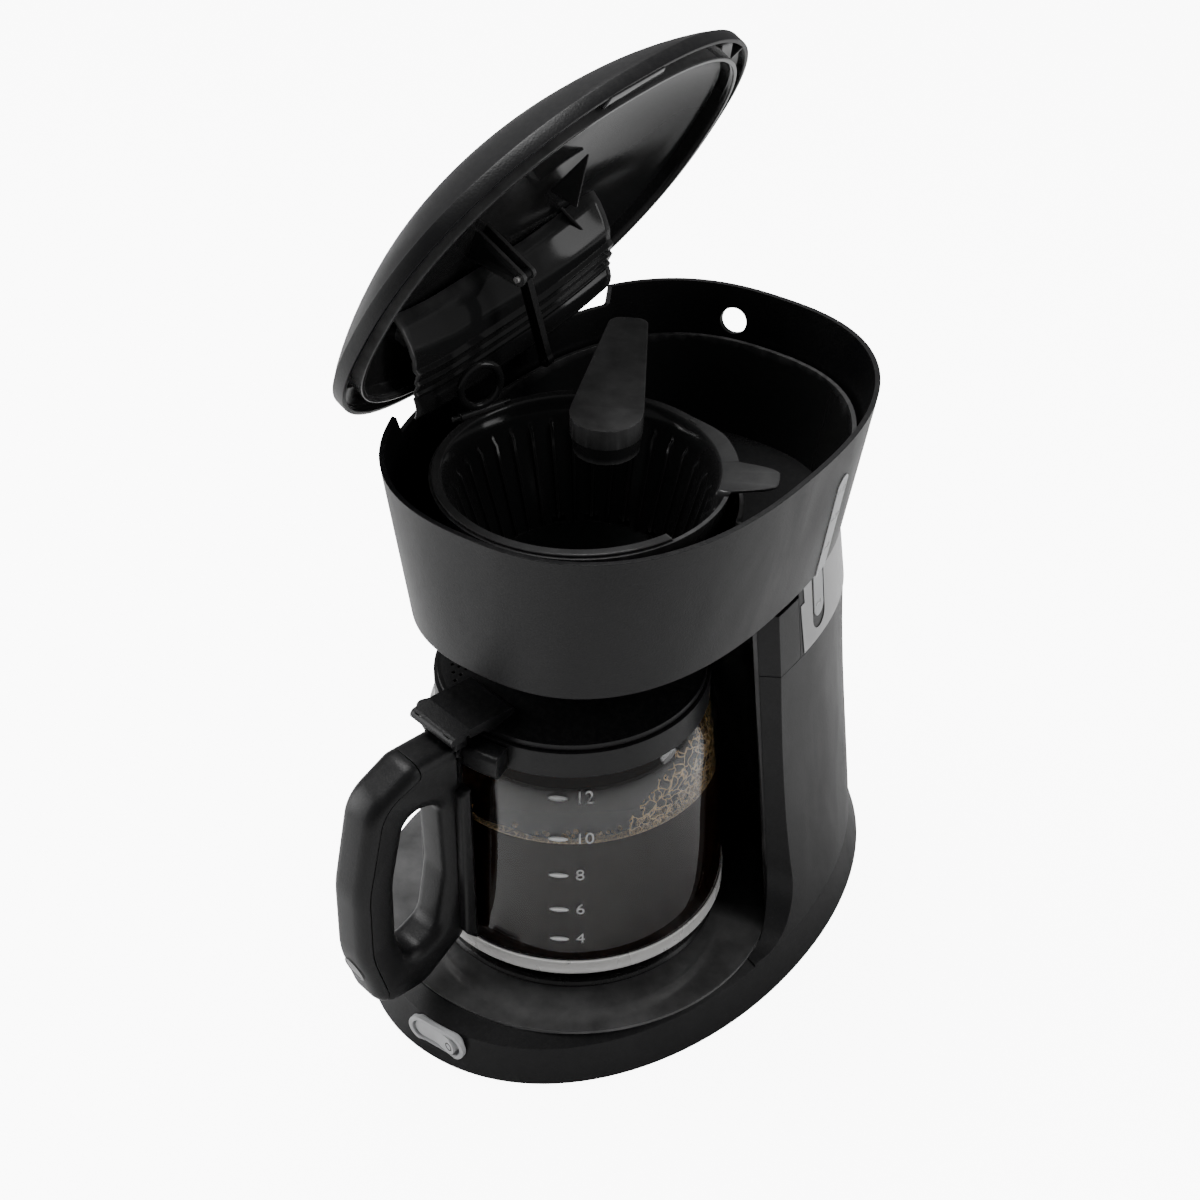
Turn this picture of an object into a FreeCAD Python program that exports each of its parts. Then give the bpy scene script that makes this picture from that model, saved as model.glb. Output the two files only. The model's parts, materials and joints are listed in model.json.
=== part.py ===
"""Drip coffee maker as a parametric FreeCAD document, in millimetres.

Frame: origin on the counter under the axis of the brew basket, +Z up, front towards -Y,
+X on the machine's right-hand side as seen from the front. The lid is modelled closed and
then stands open on its hinge, the pose in which the machine is filled.
"""
import FreeCAD, Part, Sketcher
import math
import os
import re
from FreeCAD import Placement, Rotation, Vector

SIZES = {
    # housing
    "wall": 2.4,
    "rim_height": 288.0,
    "rim_half_width": 95.6,
    "rim_half_depth": 127.0,
    "rim_middle": 43.0,
    "band_bottom": 210.0,
    "band_half_width": 83.5,
    "band_half_depth": 118.0,
    "band_middle": 41.0,
    "seam_height": 172.0,
    "base_half_width": 112.1,
    "base_half_depth": 157.2,
    "base_middle": 32.8,
    "crease_height": 21.0,
    "crease_inset": 6.5,
    "ledge_height": 28.0,
    "ledge_inset": 17.5,
    "base_bottom": 2.6,
    # bay for the carafe
    "bay_middle": -8.0,
    "bay_radius_low": 98.0,
    "bay_radius_high": 86.0,
    "liner_wall": 2.2,
    "floor_top": 27.6,
    "floor_bottom": 25.8,
    "floor_radius": 100.0,
    "floor_hole_radius": 66.0,
    "liner_height": 206.0,
    # feet and bottom plate
    "plate_bottom": 3.0,
    "plate_thickness": 2.4,
    "foot_radius": 9.0,
    "foot_height": 3.0,
    "centre_rest_radius": 12.0,
    "screw_head_radius": 3.2,
    "screw_head_height": 1.6,
    "screw_shank_radius": 1.5,
    # heating
    "plate_radius": 72.0,
    "plate_top": 31.5,
    "plate_skin": 1.2,
    "heater_radius": 45.0,
    "heater_width": 13.0,
    "heater_height": 9.0,
    "tube_radius": 3.5,
    "tube_bore": 2.4,
    # brew head
    "riser_east": -34.0,
    "riser_north": 80.0,
    "well_rim_height": 276.2,
    "well_rim_radius": 66.0,
    "well_floor": 203.0,
    "well_floor_radius": 48.5,
    "well_skin": 2.0,
    "deck_bottom": 212.0,
    "tank_bottom": 178.0,
    "tank_top": 262.0,
    "tank_skin": 2.0,
    # basket
    "flange_top": 278.0,
    "flange_thickness": 1.4,
    "flange_radius": 67.0,
    "basket_radius": 62.3,
    "basket_floor": 215.0,
    "basket_floor_radius": 44.0,
    "basket_skin": 1.6,
    # drip stop
    "drip_hole_radius": 6.0,
    "plunger_radius": 4.6,
    "plunger_tip": 191.0,
    # spout arm
    "arm_top": 299.3,
    "arm_bottom": 289.5,
    "arm_tip_east": 2.0,
    "arm_tip_north": 16.5,
    "arm_tip_radius": 16.5,
    "arm_tip_bottom": 281.0,
    # lid
    "lid_bottom": 288.4,
    "lid_half_width": 97.0,
    "lid_half_depth": 129.5,
    "lid_middle": 43.5,
    "lid_skin": 2.2,
    "lid_angle": 59.6,
    "hinge_east": -89.3,
    "hinge_height": 286.0,
    "hinge_pin_radius": 2.0,
    "ear_radius": 3.4,
    "hinge_front": 14.0,
    "hinge_back": 73.0,
    # carafe
    "carafe_middle": -8.0,
    "glass_skin": 2.2,
    "collar_bottom": 158.0,
    "collar_top": 172.0,
    "collar_radius": 65.5,
    "band_ring_radius": 75.2,
    "band_ring_bottom": 40.6,
    "band_ring_height": 8.5,
    "handle_angle": -12.3,
    "handle_thickness": 23.0,
    "handle_strip_width": 34.0,
    # switch
    "switch_height": 14.5,
    "switch_half_length": 15.2,
    "switch_half_height": 6.2,
    "rocker_tilt": 6.0,
    # cord gland
    "gland_radius": 7.0,
    "gland_bore": 3.6,
    "gland_height": 14.0,
    # water window
    "window_north": 78.0,
    "window_low": 185.0,
    "window_high": 267.0,
    "window_radius": 5.2,
}

doc = FreeCAD.newDocument("coffee_maker")
sheet = doc.addObject("Spreadsheet::Sheet", "Sizes")
for row, (word, value) in enumerate(SIZES.items(), start=1):
    sheet.set(f"A{row}", word)
    sheet.set(f"B{row}", str(value))
    sheet.setAlias(f"B{row}", word)
doc.recompute()

PARTS = []


def size(word):
    """A driving dimension, read back from the sheet."""
    return float(sheet.get(word))


def expression(text):
    """A formula of size names, written for setExpression."""
    return re.sub(r"[a-z][a-z_]+", lambda found: "Sizes." + found.group(0), str(text))


def bind(thing, **formulas):
    for name, text in formulas.items():
        thing.setExpression(name, expression(text))
    return thing


def value_of(text):
    """A formula of size names, worked out now: sums and products of sizes and numbers."""
    total = 0.0
    for sign, term in re.findall(r"([+-]?)\s*([^+-]+)", str(text)):
        product = 1.0
        for factor in term.split("*"):
            word = factor.strip()
            product *= size(word) if word in SIZES else float(word)
        total += -product if sign == "-" else product
    return total


def name_part(thing, label):
    """Keep an object as a sub-part: its label names its file."""
    thing.Label = label
    PARTS.append(thing)
    return thing


def cylinder(radius, height, at, axis=(0, 0, 1)):
    piece = doc.addObject("Part::Cylinder", "Cylinder")
    bind(piece, Radius=radius, Height=height)
    piece.Placement = Placement(Vector(*at), Rotation(Vector(0, 0, 1), Vector(*axis)))
    return piece


def minus(base, tool):
    cut = doc.addObject("Part::Cut", "Cut")
    cut.Base = base
    cut.Tool = tool
    return cut


def ring(label, outer, inner, height, at, axis=(0, 0, 1)):
    """A plain tube, cut from two cylinders."""
    cut = minus(cylinder(outer, height, at, axis), cylinder(inner, height, at, axis))
    return name_part(cut, label)


def turned(label, profile, at=(0, 0, 0)):
    """A turned piece: a dimensioned sketch of (radius, height) corners, revolved about Z."""
    body = doc.addObject("PartDesign::Body", "Turned")
    sketch = body.newObject("Sketcher::SketchObject", "Profile")
    plane = [f for f in body.Origin.OriginFeatures if f.Role == "XZ_Plane"][0]
    sketch.AttachmentSupport = [(plane, "")]
    sketch.MapMode = "FlatFace"
    corners = [Vector(value_of(r), value_of(z), 0) for r, z in profile]
    count = len(corners)
    for index in range(count):
        sketch.addGeometry(Part.LineSegment(corners[index], corners[(index + 1) % count]), False)
    for index in range(count):
        sketch.addConstraint(Sketcher.Constraint("Coincident", index, 2, (index + 1) % count, 1))
    for index, (radius, height) in enumerate(profile):
        if corners[index].x == 0:
            sketch.addConstraint(Sketcher.Constraint("PointOnObject", index, 1, -2))
        else:
            rule = sketch.addConstraint(
                Sketcher.Constraint("DistanceX", -1, 1, index, 1, corners[index].x))
            sketch.setExpression(f"Constraints[{rule}]", expression(radius))
        rule = sketch.addConstraint(
            Sketcher.Constraint("DistanceY", -1, 1, index, 1, corners[index].y))
        sketch.setExpression(f"Constraints[{rule}]", expression(height))
    turn = body.newObject("PartDesign::Revolution", "Turn")
    turn.Profile = sketch
    turn.ReferenceAxis = (sketch, ["V_Axis"])
    turn.Angle = 360
    body.Tip = turn
    body.Placement = Placement(Vector(*at), Rotation())
    return name_part(body, label)


def shaped(label, shape, placement=None):
    """A piece whose form is worked out here from the sheet."""
    piece = doc.addObject("Part::Feature", "Shaped")
    piece.Shape = shape
    if placement is not None:
        piece.Placement = placement
    return name_part(piece, label)


# ---- outlines -----------------------------------------------------------------------


def oval(height, half_width, half_depth, middle, power, points=40):
    """A closed smooth superellipse in a level plane."""
    path = []
    for step in range(points):
        angle = 2 * math.pi * step / points
        c, d = math.cos(angle), math.sin(angle)
        east = math.copysign(abs(c) ** (2 / power), c) * half_width
        north = math.copysign(abs(d) ** (2 / power), d) * half_depth + middle
        path.append(Vector(east, north, height))
    curve = Part.BSplineCurve()
    curve.interpolate(Points=path, PeriodicFlag=True)
    return Part.Wire([curve.toShape()])


def loft(wires, ruled=False):
    return Part.makeLoft(wires, True, ruled)


def rounded(corners, place):
    """A closed outline of (across, up, corner radius), mapped into space by place."""
    edges = []
    ends = []
    count = len(corners)
    for index, (across, up, radius) in enumerate(corners):
        here = Vector(across, up, 0)
        before = Vector(*corners[index - 1][:2], 0) - here
        after = Vector(*corners[(index + 1) % count][:2], 0) - here
        if radius == 0:
            ends.append((here, here, None))
            continue
        turn = before.getAngle(after)
        back = radius / math.tan(turn / 2)
        start = here + before.normalize() * back
        stop = here + after.normalize() * back
        toward = (before + after).normalize()
        middle = here + toward * (radius / math.sin(turn / 2) - radius)
        ends.append((start, stop, middle))
    for index, (start, stop, middle) in enumerate(ends):
        if middle is not None:
            edges.append(Part.Arc(place(start), place(middle), place(stop)).toShape())
        following = ends[(index + 1) % count][0]
        if (following - stop).Length > 1e-6:
            edges.append(Part.LineSegment(place(stop), place(following)).toShape())
    return Part.Wire(Part.__sortEdges__(edges))


def slab(corners, place, along):
    return Part.Face(rounded(corners, place)).extrude(Vector(*along))


def level(height):
    return lambda v: Vector(v.x, v.y, height)


def boxed(low, high):
    return Part.makeBox(*(b - a for a, b in zip(low, high)), Vector(*low))


def rod(radius, start, stop):
    way = Vector(*stop) - Vector(*start)
    return Part.makeCylinder(radius, way.Length, Vector(*start), way)


def pipe(points, bend, outer, inner):
    """A tube along straight runs joined by round bends."""
    corners = [Vector(*p) for p in points]
    edges = []
    last = corners[0]
    for index in range(1, len(corners) - 1):
        here = corners[index]
        before = corners[index - 1] - here
        after = corners[index + 1] - here
        turn = before.getAngle(after)
        back = bend / math.tan(turn / 2)
        start = here + before.normalize() * back
        stop = here + after.normalize() * back
        middle = here + (before + after).normalize() * (bend / math.sin(turn / 2) - bend)
        edges.append(Part.LineSegment(last, start).toShape())
        edges.append(Part.Arc(start, middle, stop).toShape())
        last = stop
    edges.append(Part.LineSegment(last, corners[-1]).toShape())
    spine = Part.Wire(edges)
    way = corners[1] - corners[0]
    hoses = []
    for radius in (outer, inner):
        if radius:
            circle = Part.Wire([Part.makeCircle(radius, corners[0], way)])
            hoses.append(spine.makePipeShell([circle], True, False))
    return hoses[0].cut(hoses[1]) if len(hoses) == 2 else hoses[0]


def both_sides(shape):
    """A shape and its mirror image on the machine's other side."""
    return [shape, shape.mirror(Vector(0, 0, 0), Vector(1, 0, 0))]


# ---- body surfaces --------------------------------------------------------------------

rim_height = size("rim_height")
band_bottom = size("band_bottom")
seam_height = size("seam_height")
wall = size("wall")
HEAD_POWER = 2.45
BASE_POWER = 2.07


def band_form(inset, low=None, high=None):
    """The tapered head band, between two heights, with its wall moved in by inset."""
    low = band_bottom if low is None else low
    high = rim_height if high is None else high
    rings = []
    for height in (low, high):
        share = (height - band_bottom) / (rim_height - band_bottom)
        width = size("band_half_width") + share * (size("rim_half_width") - size("band_half_width"))
        depth = size("band_half_depth") + share * (size("rim_half_depth") - size("band_half_depth"))
        middle = size("band_middle") + share * (size("rim_middle") - size("band_middle"))
        rings.append(oval(height, width - inset, depth - inset, middle, HEAD_POWER))
    return loft(rings, ruled=True)


SKIRT_TOP = (82.3, 118.2, 41.0)
SKIRT_BOTTOM = (86.0, 121.0, 43.0)


def skirt_form(inset, low=None, high=None):
    """The rear skirt between the seam and the head band."""
    low = seam_height if low is None else low
    high = band_bottom if high is None else high
    rings = []
    for height in (low, high):
        share = (height - seam_height) / (band_bottom - seam_height)
        width, depth, middle = (a + share * (b - a) for a, b in zip(SKIRT_BOTTOM, SKIRT_TOP))
        rings.append(oval(height, width - inset, depth - inset, middle, 2.4))
    return loft(rings, ruled=True)


# height, half width, half depth, middle, power of the column's sections below the seam
COLUMN = (
    (21.0, 105.6, 150.7, 32.8, 2.07),
    (56.0, 99.0, 140.0, 37.5, 2.2),
    (117.0, 91.0, 127.0, 41.5, 2.32),
    (172.0, 86.0, 121.0, 43.0, 2.4),
)


def column_form(inset):
    """The concave flared column, full depth, from the base crease to the seam."""
    return loft([oval(z, a - inset, b - inset, m, p) for z, a, b, m, p in COLUMN])


def base_form(inset, bottom, drop):
    """The base with its sloping ledge; drop lowers the top for an inner form."""
    width = size("base_half_width") - inset
    depth = size("base_half_depth") - inset
    middle = size("base_middle")
    crease = size("crease_inset")
    ledge = size("ledge_inset")
    slope = crease / size("crease_height")
    low = oval(bottom, width - bottom * slope, depth - bottom * slope, middle, BASE_POWER)
    edge = oval(size("crease_height"), width - crease, depth - crease, middle, BASE_POWER)
    top = oval(size("ledge_height"), width - ledge, depth - ledge, middle, BASE_POWER)
    side = loft([low, edge], ruled=True)
    cap = loft([edge, top], ruled=True)
    form = side.fuse(cap)
    if drop:
        high = size("ledge_height") - drop
        form = form.common(boxed((-150, -200, 0), (150, 250, high)))
    return form


def bay_cone(grow, low, high):
    """The round bay that the carafe stands in."""
    foot, head = size("bay_radius_low"), size("bay_radius_high")
    slope = (head - foot) / (seam_height - size("ledge_height"))
    radius = [foot + slope * (z - size("ledge_height")) + grow for z in (low, high)]
    return Part.makeCone(*radius, high - low, Vector(0, size("bay_middle"), low))


PILLAR_FOOT = Vector(98.5, 37.5, 24.0)
PILLAR_UP = Vector(-14.0, 1.0, 138.0).normalize()
PILLAR_FORWARD = Vector(0.05, -1.0, 0.0).normalize()
PILLAR_SLOPE = Vector(-15.0, -8.5, 7.0).normalize()
PILLAR_CURVE = 30.0


def pillar_cutters(depth):
    """What is cleared in front of each pillar, down to the ledge with a round foot."""
    inward = PILLAR_FORWARD.cross(PILLAR_SLOPE).normalize()
    inward = inward if inward.z < 0 else inward * -1
    back = PILLAR_UP.cross(PILLAR_SLOPE).normalize()
    back = back if back.y > 0 else back * -1
    corner = PILLAR_FOOT + (inward + back) * depth
    place = lambda v: corner + PILLAR_FORWARD * v.x + PILLAR_UP * v.y
    outline = [(0, 0, PILLAR_CURVE), (260, 0, 0), (260, 210, 0), (0, 210, 0)]
    cutter = slab(outline, place, PILLAR_SLOPE * 160)
    cutter.translate(PILLAR_SLOPE * -80)
    return both_sides(cutter)


def half_space(front):
    """Everything behind the given depth."""
    return boxed((-150, front, 0), (150, 260, 320))


print("surfaces")


# ---- base -------------------------------------------------------------------------------


def make_base_shell():
    bottom = size("base_bottom")
    outer = base_form(0, bottom, 0)
    column = column_form(0).common(half_space(2.0))
    for cutter in pillar_cutters(0):
        column = column.cut(cutter)
    outer = outer.fuse(column)
    inner = base_form(wall, bottom - 1, 3.4)
    hollow = column_form(wall).common(half_space(2.0))
    hollow = hollow.fuse(oval_prism(seam_height - 0.5, seam_height + 2, wall))
    for cutter in pillar_cutters(wall):
        hollow = hollow.cut(cutter)
    shell = outer.cut(inner).cut(hollow)
    shell = shell.cut(bay_cone(size("liner_wall"), size("floor_bottom"), 180.0))
    middle = Vector(0, size("bay_middle"), 20.0)
    shell = shell.cut(Part.makeCylinder(93.0, 10.0, middle))
    shell = shell.cut(switch_slot(0.0))
    gland = gland_end()
    shell = shell.cut(rod(size("gland_radius") + 0.05, (0, gland - 20, 14), (0, gland + 20, 14)))
    for spot in SCREW_SPOTS:
        post = rod(4.0, (*spot, 5.6), (*spot, 24.7))
        shell = shell.fuse(post)
    for spot in SCREW_SPOTS:
        hole = rod(size("screw_shank_radius") + 0.05, (*spot, 0), (*spot, 19.5))
        shell = shell.cut(hole)
    return shell.removeSplitter()


def oval_prism(low, high, inset):
    z, a, b, m, p = COLUMN[-1]
    return loft([oval(h, a - inset, b - inset, m, p) for h in (low, high)], ruled=True)


def gland_end():
    """The rear face of the base at the cord gland's height."""
    slope = size("crease_inset") / size("crease_height")
    return size("base_middle") + size("base_half_depth") - size("gland_height") * slope


def switch_slot(grow):
    """The stadium through the front wall of the base that the switch sits in."""
    half, rise = size("switch_half_length") + grow, size("switch_half_height") + grow
    place = lambda v: Vector(v.x, -135, v.y + size("switch_height"))
    outline = [(-half, -rise, rise - 0.01), (half, -rise, rise - 0.01),
               (half, rise, rise - 0.01), (-half, rise, rise - 0.01)]
    return slab(outline, place, (0, 37, 0))


SCREW_SPOTS = [(-93.2, 2.0), (93.2, 2.0), (-74.0, 132.0), (74.0, 132.0)]
FOOT_SPOTS = [(-72, -58), (72, -58), (-66, 122), (66, 122)]

shaped("base_shell", make_base_shell())
print("base_shell")

plate_low = size("plate_bottom")
plate_high = plate_low + size("plate_thickness")
plate_inset = wall + 1.6
bottom_plate = loft([oval(z, size("base_half_width") - plate_inset - 1.2,
                          size("base_half_depth") - plate_inset - 1.2,
                          size("base_middle"), BASE_POWER)
                     for z in (plate_low, plate_high)], ruled=True)
for spot in SCREW_SPOTS:
    bottom_plate = bottom_plate.cut(rod(1.8, (*spot, 0), (*spot, 10)))
for row in range(5):
    for column in range(-2, 3):
        slot = boxed((column * 22 - 8, row * 9 + 40, 0), (column * 22 + 8, row * 9 + 43, 10))
        bottom_plate = bottom_plate.cut(slot)
bottom_plate = bottom_plate.fuse(rod(size("centre_rest_radius"), (0, 0, 0), (0, 0, plate_low)))
shaped("bottom_plate", bottom_plate)

shaped("rubber_feet", Part.makeCompound([
    Part.makeCone(size("foot_radius") - 1.0, size("foot_radius"), size("foot_height"),
                  Vector(*spot, 0)) for spot in FOOT_SPOTS]))

head_low = plate_low - size("screw_head_height")
screws = []
for spot in SCREW_SPOTS:
    head = rod(size("screw_head_radius"), (*spot, head_low), (*spot, plate_low))
    shank = rod(size("screw_shank_radius"), (*spot, plate_low), (*spot, 18.0))
    cross = boxed((spot[0] - 0.5, spot[1] - 2, head_low), (spot[0] + 0.5, spot[1] + 2, head_low + 0.8))
    screws.append(head.fuse(shank).cut(cross))
shaped("base_screws", Part.makeCompound(screws))

# the bay liner: round floor with the hot plate's hole, and the curved back wall
bay_at = Vector(0, size("bay_middle"), 0)
liner_low = size("floor_bottom")
floor = Part.makeCylinder(size("floor_radius"), size("floor_top") - liner_low,
                          bay_at + Vector(0, 0, liner_low))
back_wall = bay_cone(size("liner_wall") - 0.05, size("floor_top"), size("liner_height"))
back_wall = back_wall.cut(bay_cone(0, size("floor_top") - 1, size("liner_height") + 1))
back_wall = back_wall.common(half_space(34.0))
back_wall = back_wall.cut(pillar_cutters(0.3)[0]).cut(pillar_cutters(0.3)[1])
floor = floor.cut(Part.makeCylinder(size("floor_hole_radius"), 10, bay_at + Vector(0, 0, 20)))
shaped("bay_liner", floor.fuse(back_wall).removeSplitter())

ring("hot_plate_gasket", "plate_radius - 0.6", "plate_radius - 3.4", "0.9",
     (0, size("bay_middle"), size("floor_top")))
turned("hot_plate", [
    (0, "plate_top"), ("plate_radius - 3", "plate_top"), ("plate_radius - 0.8", "plate_top - 0.8"),
    ("plate_radius", "plate_top - 2.6"), ("plate_radius", "plate_top - 3"),
    ("plate_radius - 3.2", "plate_top - 3"), ("plate_radius - 4.2", "plate_top - 1.2"),
    (0, "plate_top - 1.2")], (0, size("bay_middle"), 0))

heater_top = size("plate_top") - size("plate_skin")
heater_low = heater_top - size("heater_height")
heater = Part.makeCylinder(size("heater_radius") + size("heater_width") / 2,
                           size("heater_height"), bay_at + Vector(0, 0, heater_low))
heater = heater.cut(Part.makeCylinder(size("heater_radius") - size("heater_width") / 2, 40, bay_at))
gap = boxed((-14, 0, 0), (14, 80, 60))
heater = heater.cut(gap)
stub_y = size("bay_middle") + size("heater_radius")
stub_z = size("floor_bottom") - size("tube_radius") - 1.9
for side in (-1, 1):
    stub = rod(size("tube_radius"), (side * 20, stub_y - 8, stub_z), (side * 20, stub_y + 14, stub_z))
    heater = heater.fuse(stub)
shaped("heater_block", heater)

clamp_z = heater_low - 1.6
clamp = boxed((-60, size("bay_middle") - 7, clamp_z), (60, size("bay_middle") + 7, heater_low))
clamp = clamp.cut(rod(2.1, (0, size("bay_middle"), 0), (0, size("bay_middle"), 40)))
shaped("heater_clamp", clamp)
shaped("thermostat", rod(8.5, (0, -8, heater_low + 3), (0, -8, heater_top)).fuse(
    boxed((-16, -10, heater_low + 3), (16, -6, heater_low + 3.8))))
shaped("thermal_fuse", rod(2.2, (-9, -26, heater_top - 2.4), (9, -26, heater_top - 2.4)))

# ---- water path under the tank ------------------------------------------------------------

riser_x, riser_y = size("riser_east"), size("riser_north")
tube_out, tube_in = size("tube_radius"), size("tube_bore")
COLD_X, COLD_Y = 24.0, 118.0
hose_start = stub_y + 14.2
shaped("hot_water_tube", pipe([
    (-20, hose_start, stub_z), (-20, 118, stub_z), (-34, 118, stub_z + 30), (-34, 118, 128),
    (riser_x, riser_y + 4, 172), (riser_x, riser_y + 4, 258)], 9.0, tube_out, tube_in))
check_valve_y = 88.0
shaped("check_valve", rod(5.0, (20, check_valve_y - 12, stub_z), (20, check_valve_y, stub_z)))
cold_start, cold_end = (20, hose_start, stub_z), (20, check_valve_y - 12.2, stub_z)
shaped("cold_water_hose", rod(tube_out, cold_start, cold_end).cut(rod(tube_in, cold_start, cold_end)))
shaped("tank_feed_tube", pipe([
    (20, check_valve_y + 0.2, stub_z), (20, COLD_Y, stub_z), (COLD_X, COLD_Y, stub_z + 30),
    (COLD_X, COLD_Y, 169.8)], 9.0, tube_out, tube_in))
clamps = []
for x, y in ((-20, hose_start + 5), (20, hose_start + 5), (20, check_valve_y + 6)):
    band = rod(tube_out + 1.4, (x, y - 2, stub_z), (x, y + 2, stub_z))
    clamps.append(band.cut(rod(tube_out + 0.05, (x, y - 3, stub_z), (x, y + 3, stub_z))))
shaped("hose_clamps", Part.makeCompound(clamps))

# ---- electrics ------------------------------------------------------------------------------

gland_z = size("gland_height")
gland_y = gland_end()
gland = rod(size("gland_radius"), (0, gland_y - 9, gland_z), (0, gland_y + 1.2, gland_z))
gland = gland.fuse(rod(size("gland_radius") + 3, (0, gland_y + 1.2, gland_z), (0, gland_y + 3.4, gland_z)))
gland = gland.fuse(Part.makeCone(6.6, 5.2, 8, Vector(0, gland_y + 3.4, gland_z), Vector(0, 1, 0)))
gland = gland.cut(rod(size("gland_bore"), (0, gland_y - 12, gland_z), (0, gland_y + 14, gland_z)))
flange_zone = Part.makeCylinder(20, 12, Vector(0, gland_y - 2, gland_z), Vector(0, 1, 0)).cut(
    Part.makeCylinder(size("gland_radius") + 0.01, 14, Vector(0, gland_y - 3, gland_z), Vector(0, 1, 0)))
gland = gland.cut(flange_zone.common(base_form(-0.1, 0, 0).fuse(column_form(-0.1))))
shaped("cord_gland", gland)
terminal = boxed((-16, 150, plate_high), (16, 162, plate_high + 13))
for x in (-9, 0, 9):
    terminal = terminal.cut(rod(2.2, (x, 148, plate_high + 8), (x, 156, plate_high + 8)))
shaped("terminal_block", terminal)

slot_y = -(size("base_half_depth") - size("base_middle")) + size("switch_height") * 0.31
bezel_ring = switch_slot(1.6).cut(switch_slot(-0.75))
bezel_zone = boxed((-40, slot_y - 1.7, 0), (40, slot_y + 0.6, 40))
collar_tube = switch_slot(-0.05).cut(switch_slot(-0.75))
collar_zone = boxed((-40, slot_y - 1.7, 0), (40, slot_y + 8.0, 40))
base_wall = base_form(0, size("base_bottom"), 0).cut(switch_slot(-0.04))
bezel = bezel_ring.common(bezel_zone).cut(base_wall)
bezel = bezel.fuse(collar_tube.common(collar_zone))
shaped("switch_bezel", bezel)
body_front = slot_y + 8.2
switch_case = boxed((-13, body_front, 7.2), (13, body_front + 16, 21.6))
for x in (-8, 0, 8):
    switch_case = switch_case.fuse(boxed((x - 2.4, body_front + 16, 12), (x + 2.4, body_front + 23, 12.8)))
shaped("switch_body", switch_case)

pivot_y = slot_y + 6.0
half = size("switch_half_length") - 2.3
rise = size("switch_half_height") - 1.1
rocker_place = lambda v: Vector(v.x, -140, v.y + size("switch_height"))
key_outline = [(-half, -rise, rise - 0.01), (half, -rise, rise - 0.01),
               (half, rise, rise - 0.01), (-half, rise, rise - 0.01)]
key = slab(key_outline, rocker_place, (0, 60, 0))
front_place = lambda v: Vector(v.x, v.y, 0)
key_plan = [(-half - 1, slot_y - 2.2, 0), (0, slot_y - 0.4, 12), (half + 1, slot_y - 2.2, 0),
            (half + 1, pivot_y - 2.0, 0), (3, pivot_y + 1.6, 0), (-3, pivot_y + 1.6, 0),
            (-half - 1, pivot_y - 2.0, 0)]
key = key.common(slab(key_plan, front_place, (0, 0, 40)))
key = key.cut(rod(1.26, (0, pivot_y - 1.2, 0), (0, pivot_y - 1.2, 40)))
rocker_pivot = Vector(0, pivot_y - 1.2, 0)
key_turn = Placement(Vector(), Rotation(Vector(0, 0, 1), -size("rocker_tilt")), rocker_pivot)
shaped("switch_rocker", key, key_turn)
pin_low = size("switch_height") - size("switch_half_height") + 0.75
pin_high = size("switch_height") + size("switch_half_height") - 0.75
shaped("rocker_pin", rod(1.2, (0, pivot_y - 1.2, pin_low), (0, pivot_y - 1.2, pin_high)))

wires = []
for side in (-1, 1):
    wires.append(pipe([(side * 8, body_front + 23.5, 12.4), (side * 8, -60, 12.4),
                       (side * 34, -30, 9.0), (side * 34, 120, 9.0), (side * 9, 149.5, 13.0)],
                      6.0, 1.1, 0))
shaped("wire_leads", Part.makeCompound(wires))
print("base parts")

# ---- head -----------------------------------------------------------------------------------


def window_prism(grow):
    low, high = size("window_low") - grow, size("window_high") + grow
    radius = size("window_radius") + grow
    place = lambda v: Vector(60, v.x + size("window_north"), v.y)
    outline = [(-radius, low, radius - 0.01), (radius, low, radius - 0.01),
               (radius, high, radius - 0.01), (-radius, high, radius - 0.01)]
    return slab(outline, place, (45, 0, 0))


def outer_form(inset):
    """The whole head, band and skirt, as one solid."""
    return band_form(inset).fuse(skirt_form(inset))


def conduit(grow):
    return rod(5.2 + grow, (riser_x, riser_y + 4, 170), (riser_x, riser_y + 4, 280))


CAP_BACK = 58.0
CAP_TOP = 206.0


def make_upper_housing():
    band = band_form(0).cut(band_form(wall, band_bottom - 1, rim_height + 1))
    skirt = skirt_form(0, seam_height + 0.3).cut(skirt_form(wall, seam_height - 1, band_bottom + 1))
    skirt = skirt.common(half_space(CAP_BACK + 0.3))
    lip = band_form(0.4, band_bottom, band_bottom + 1.8).cut(
        skirt_form(wall, band_bottom - 1, band_bottom + 3)).common(half_space(CAP_BACK + 0.3))
    shell = band.fuse(skirt).fuse(lip)
    shell = shell.cut(window_prism(0.15))
    shell = shell.cut(rod(6.8, (-24, 140, 270), (-24, 190, 270)))
    notch = [(-25, 278.5, 2), (127, 278.5, 2), (131, 292, 0), (-29, 292, 0)]
    place = lambda v: Vector(-110, v.x, v.y)
    shell = shell.cut(slab(notch, place, (40, 0, 0)))
    hinge_x, hinge_z = size("hinge_east"), size("hinge_height")
    for low in (size("hinge_front"), size("hinge_back") - 5.5):
        ear_r = size("ear_radius")
        ear = rod(ear_r, (hinge_x, low, hinge_z), (hinge_x, low + 5.5, hinge_z))
        ear = ear.fuse(boxed((hinge_x - ear_r, low, 268), (hinge_x + ear_r, low + 5.5, hinge_z)))
        shell = shell.fuse(ear)
    pin = rod(size("hinge_pin_radius") + 0.02, (hinge_x, 0, hinge_z), (hinge_x, 90, hinge_z))
    return shell.cut(pin).common(boxed((-120, -120, 100), (120, 220, 320)))


shaped("upper_housing", make_upper_housing())
print("upper_housing")

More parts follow.
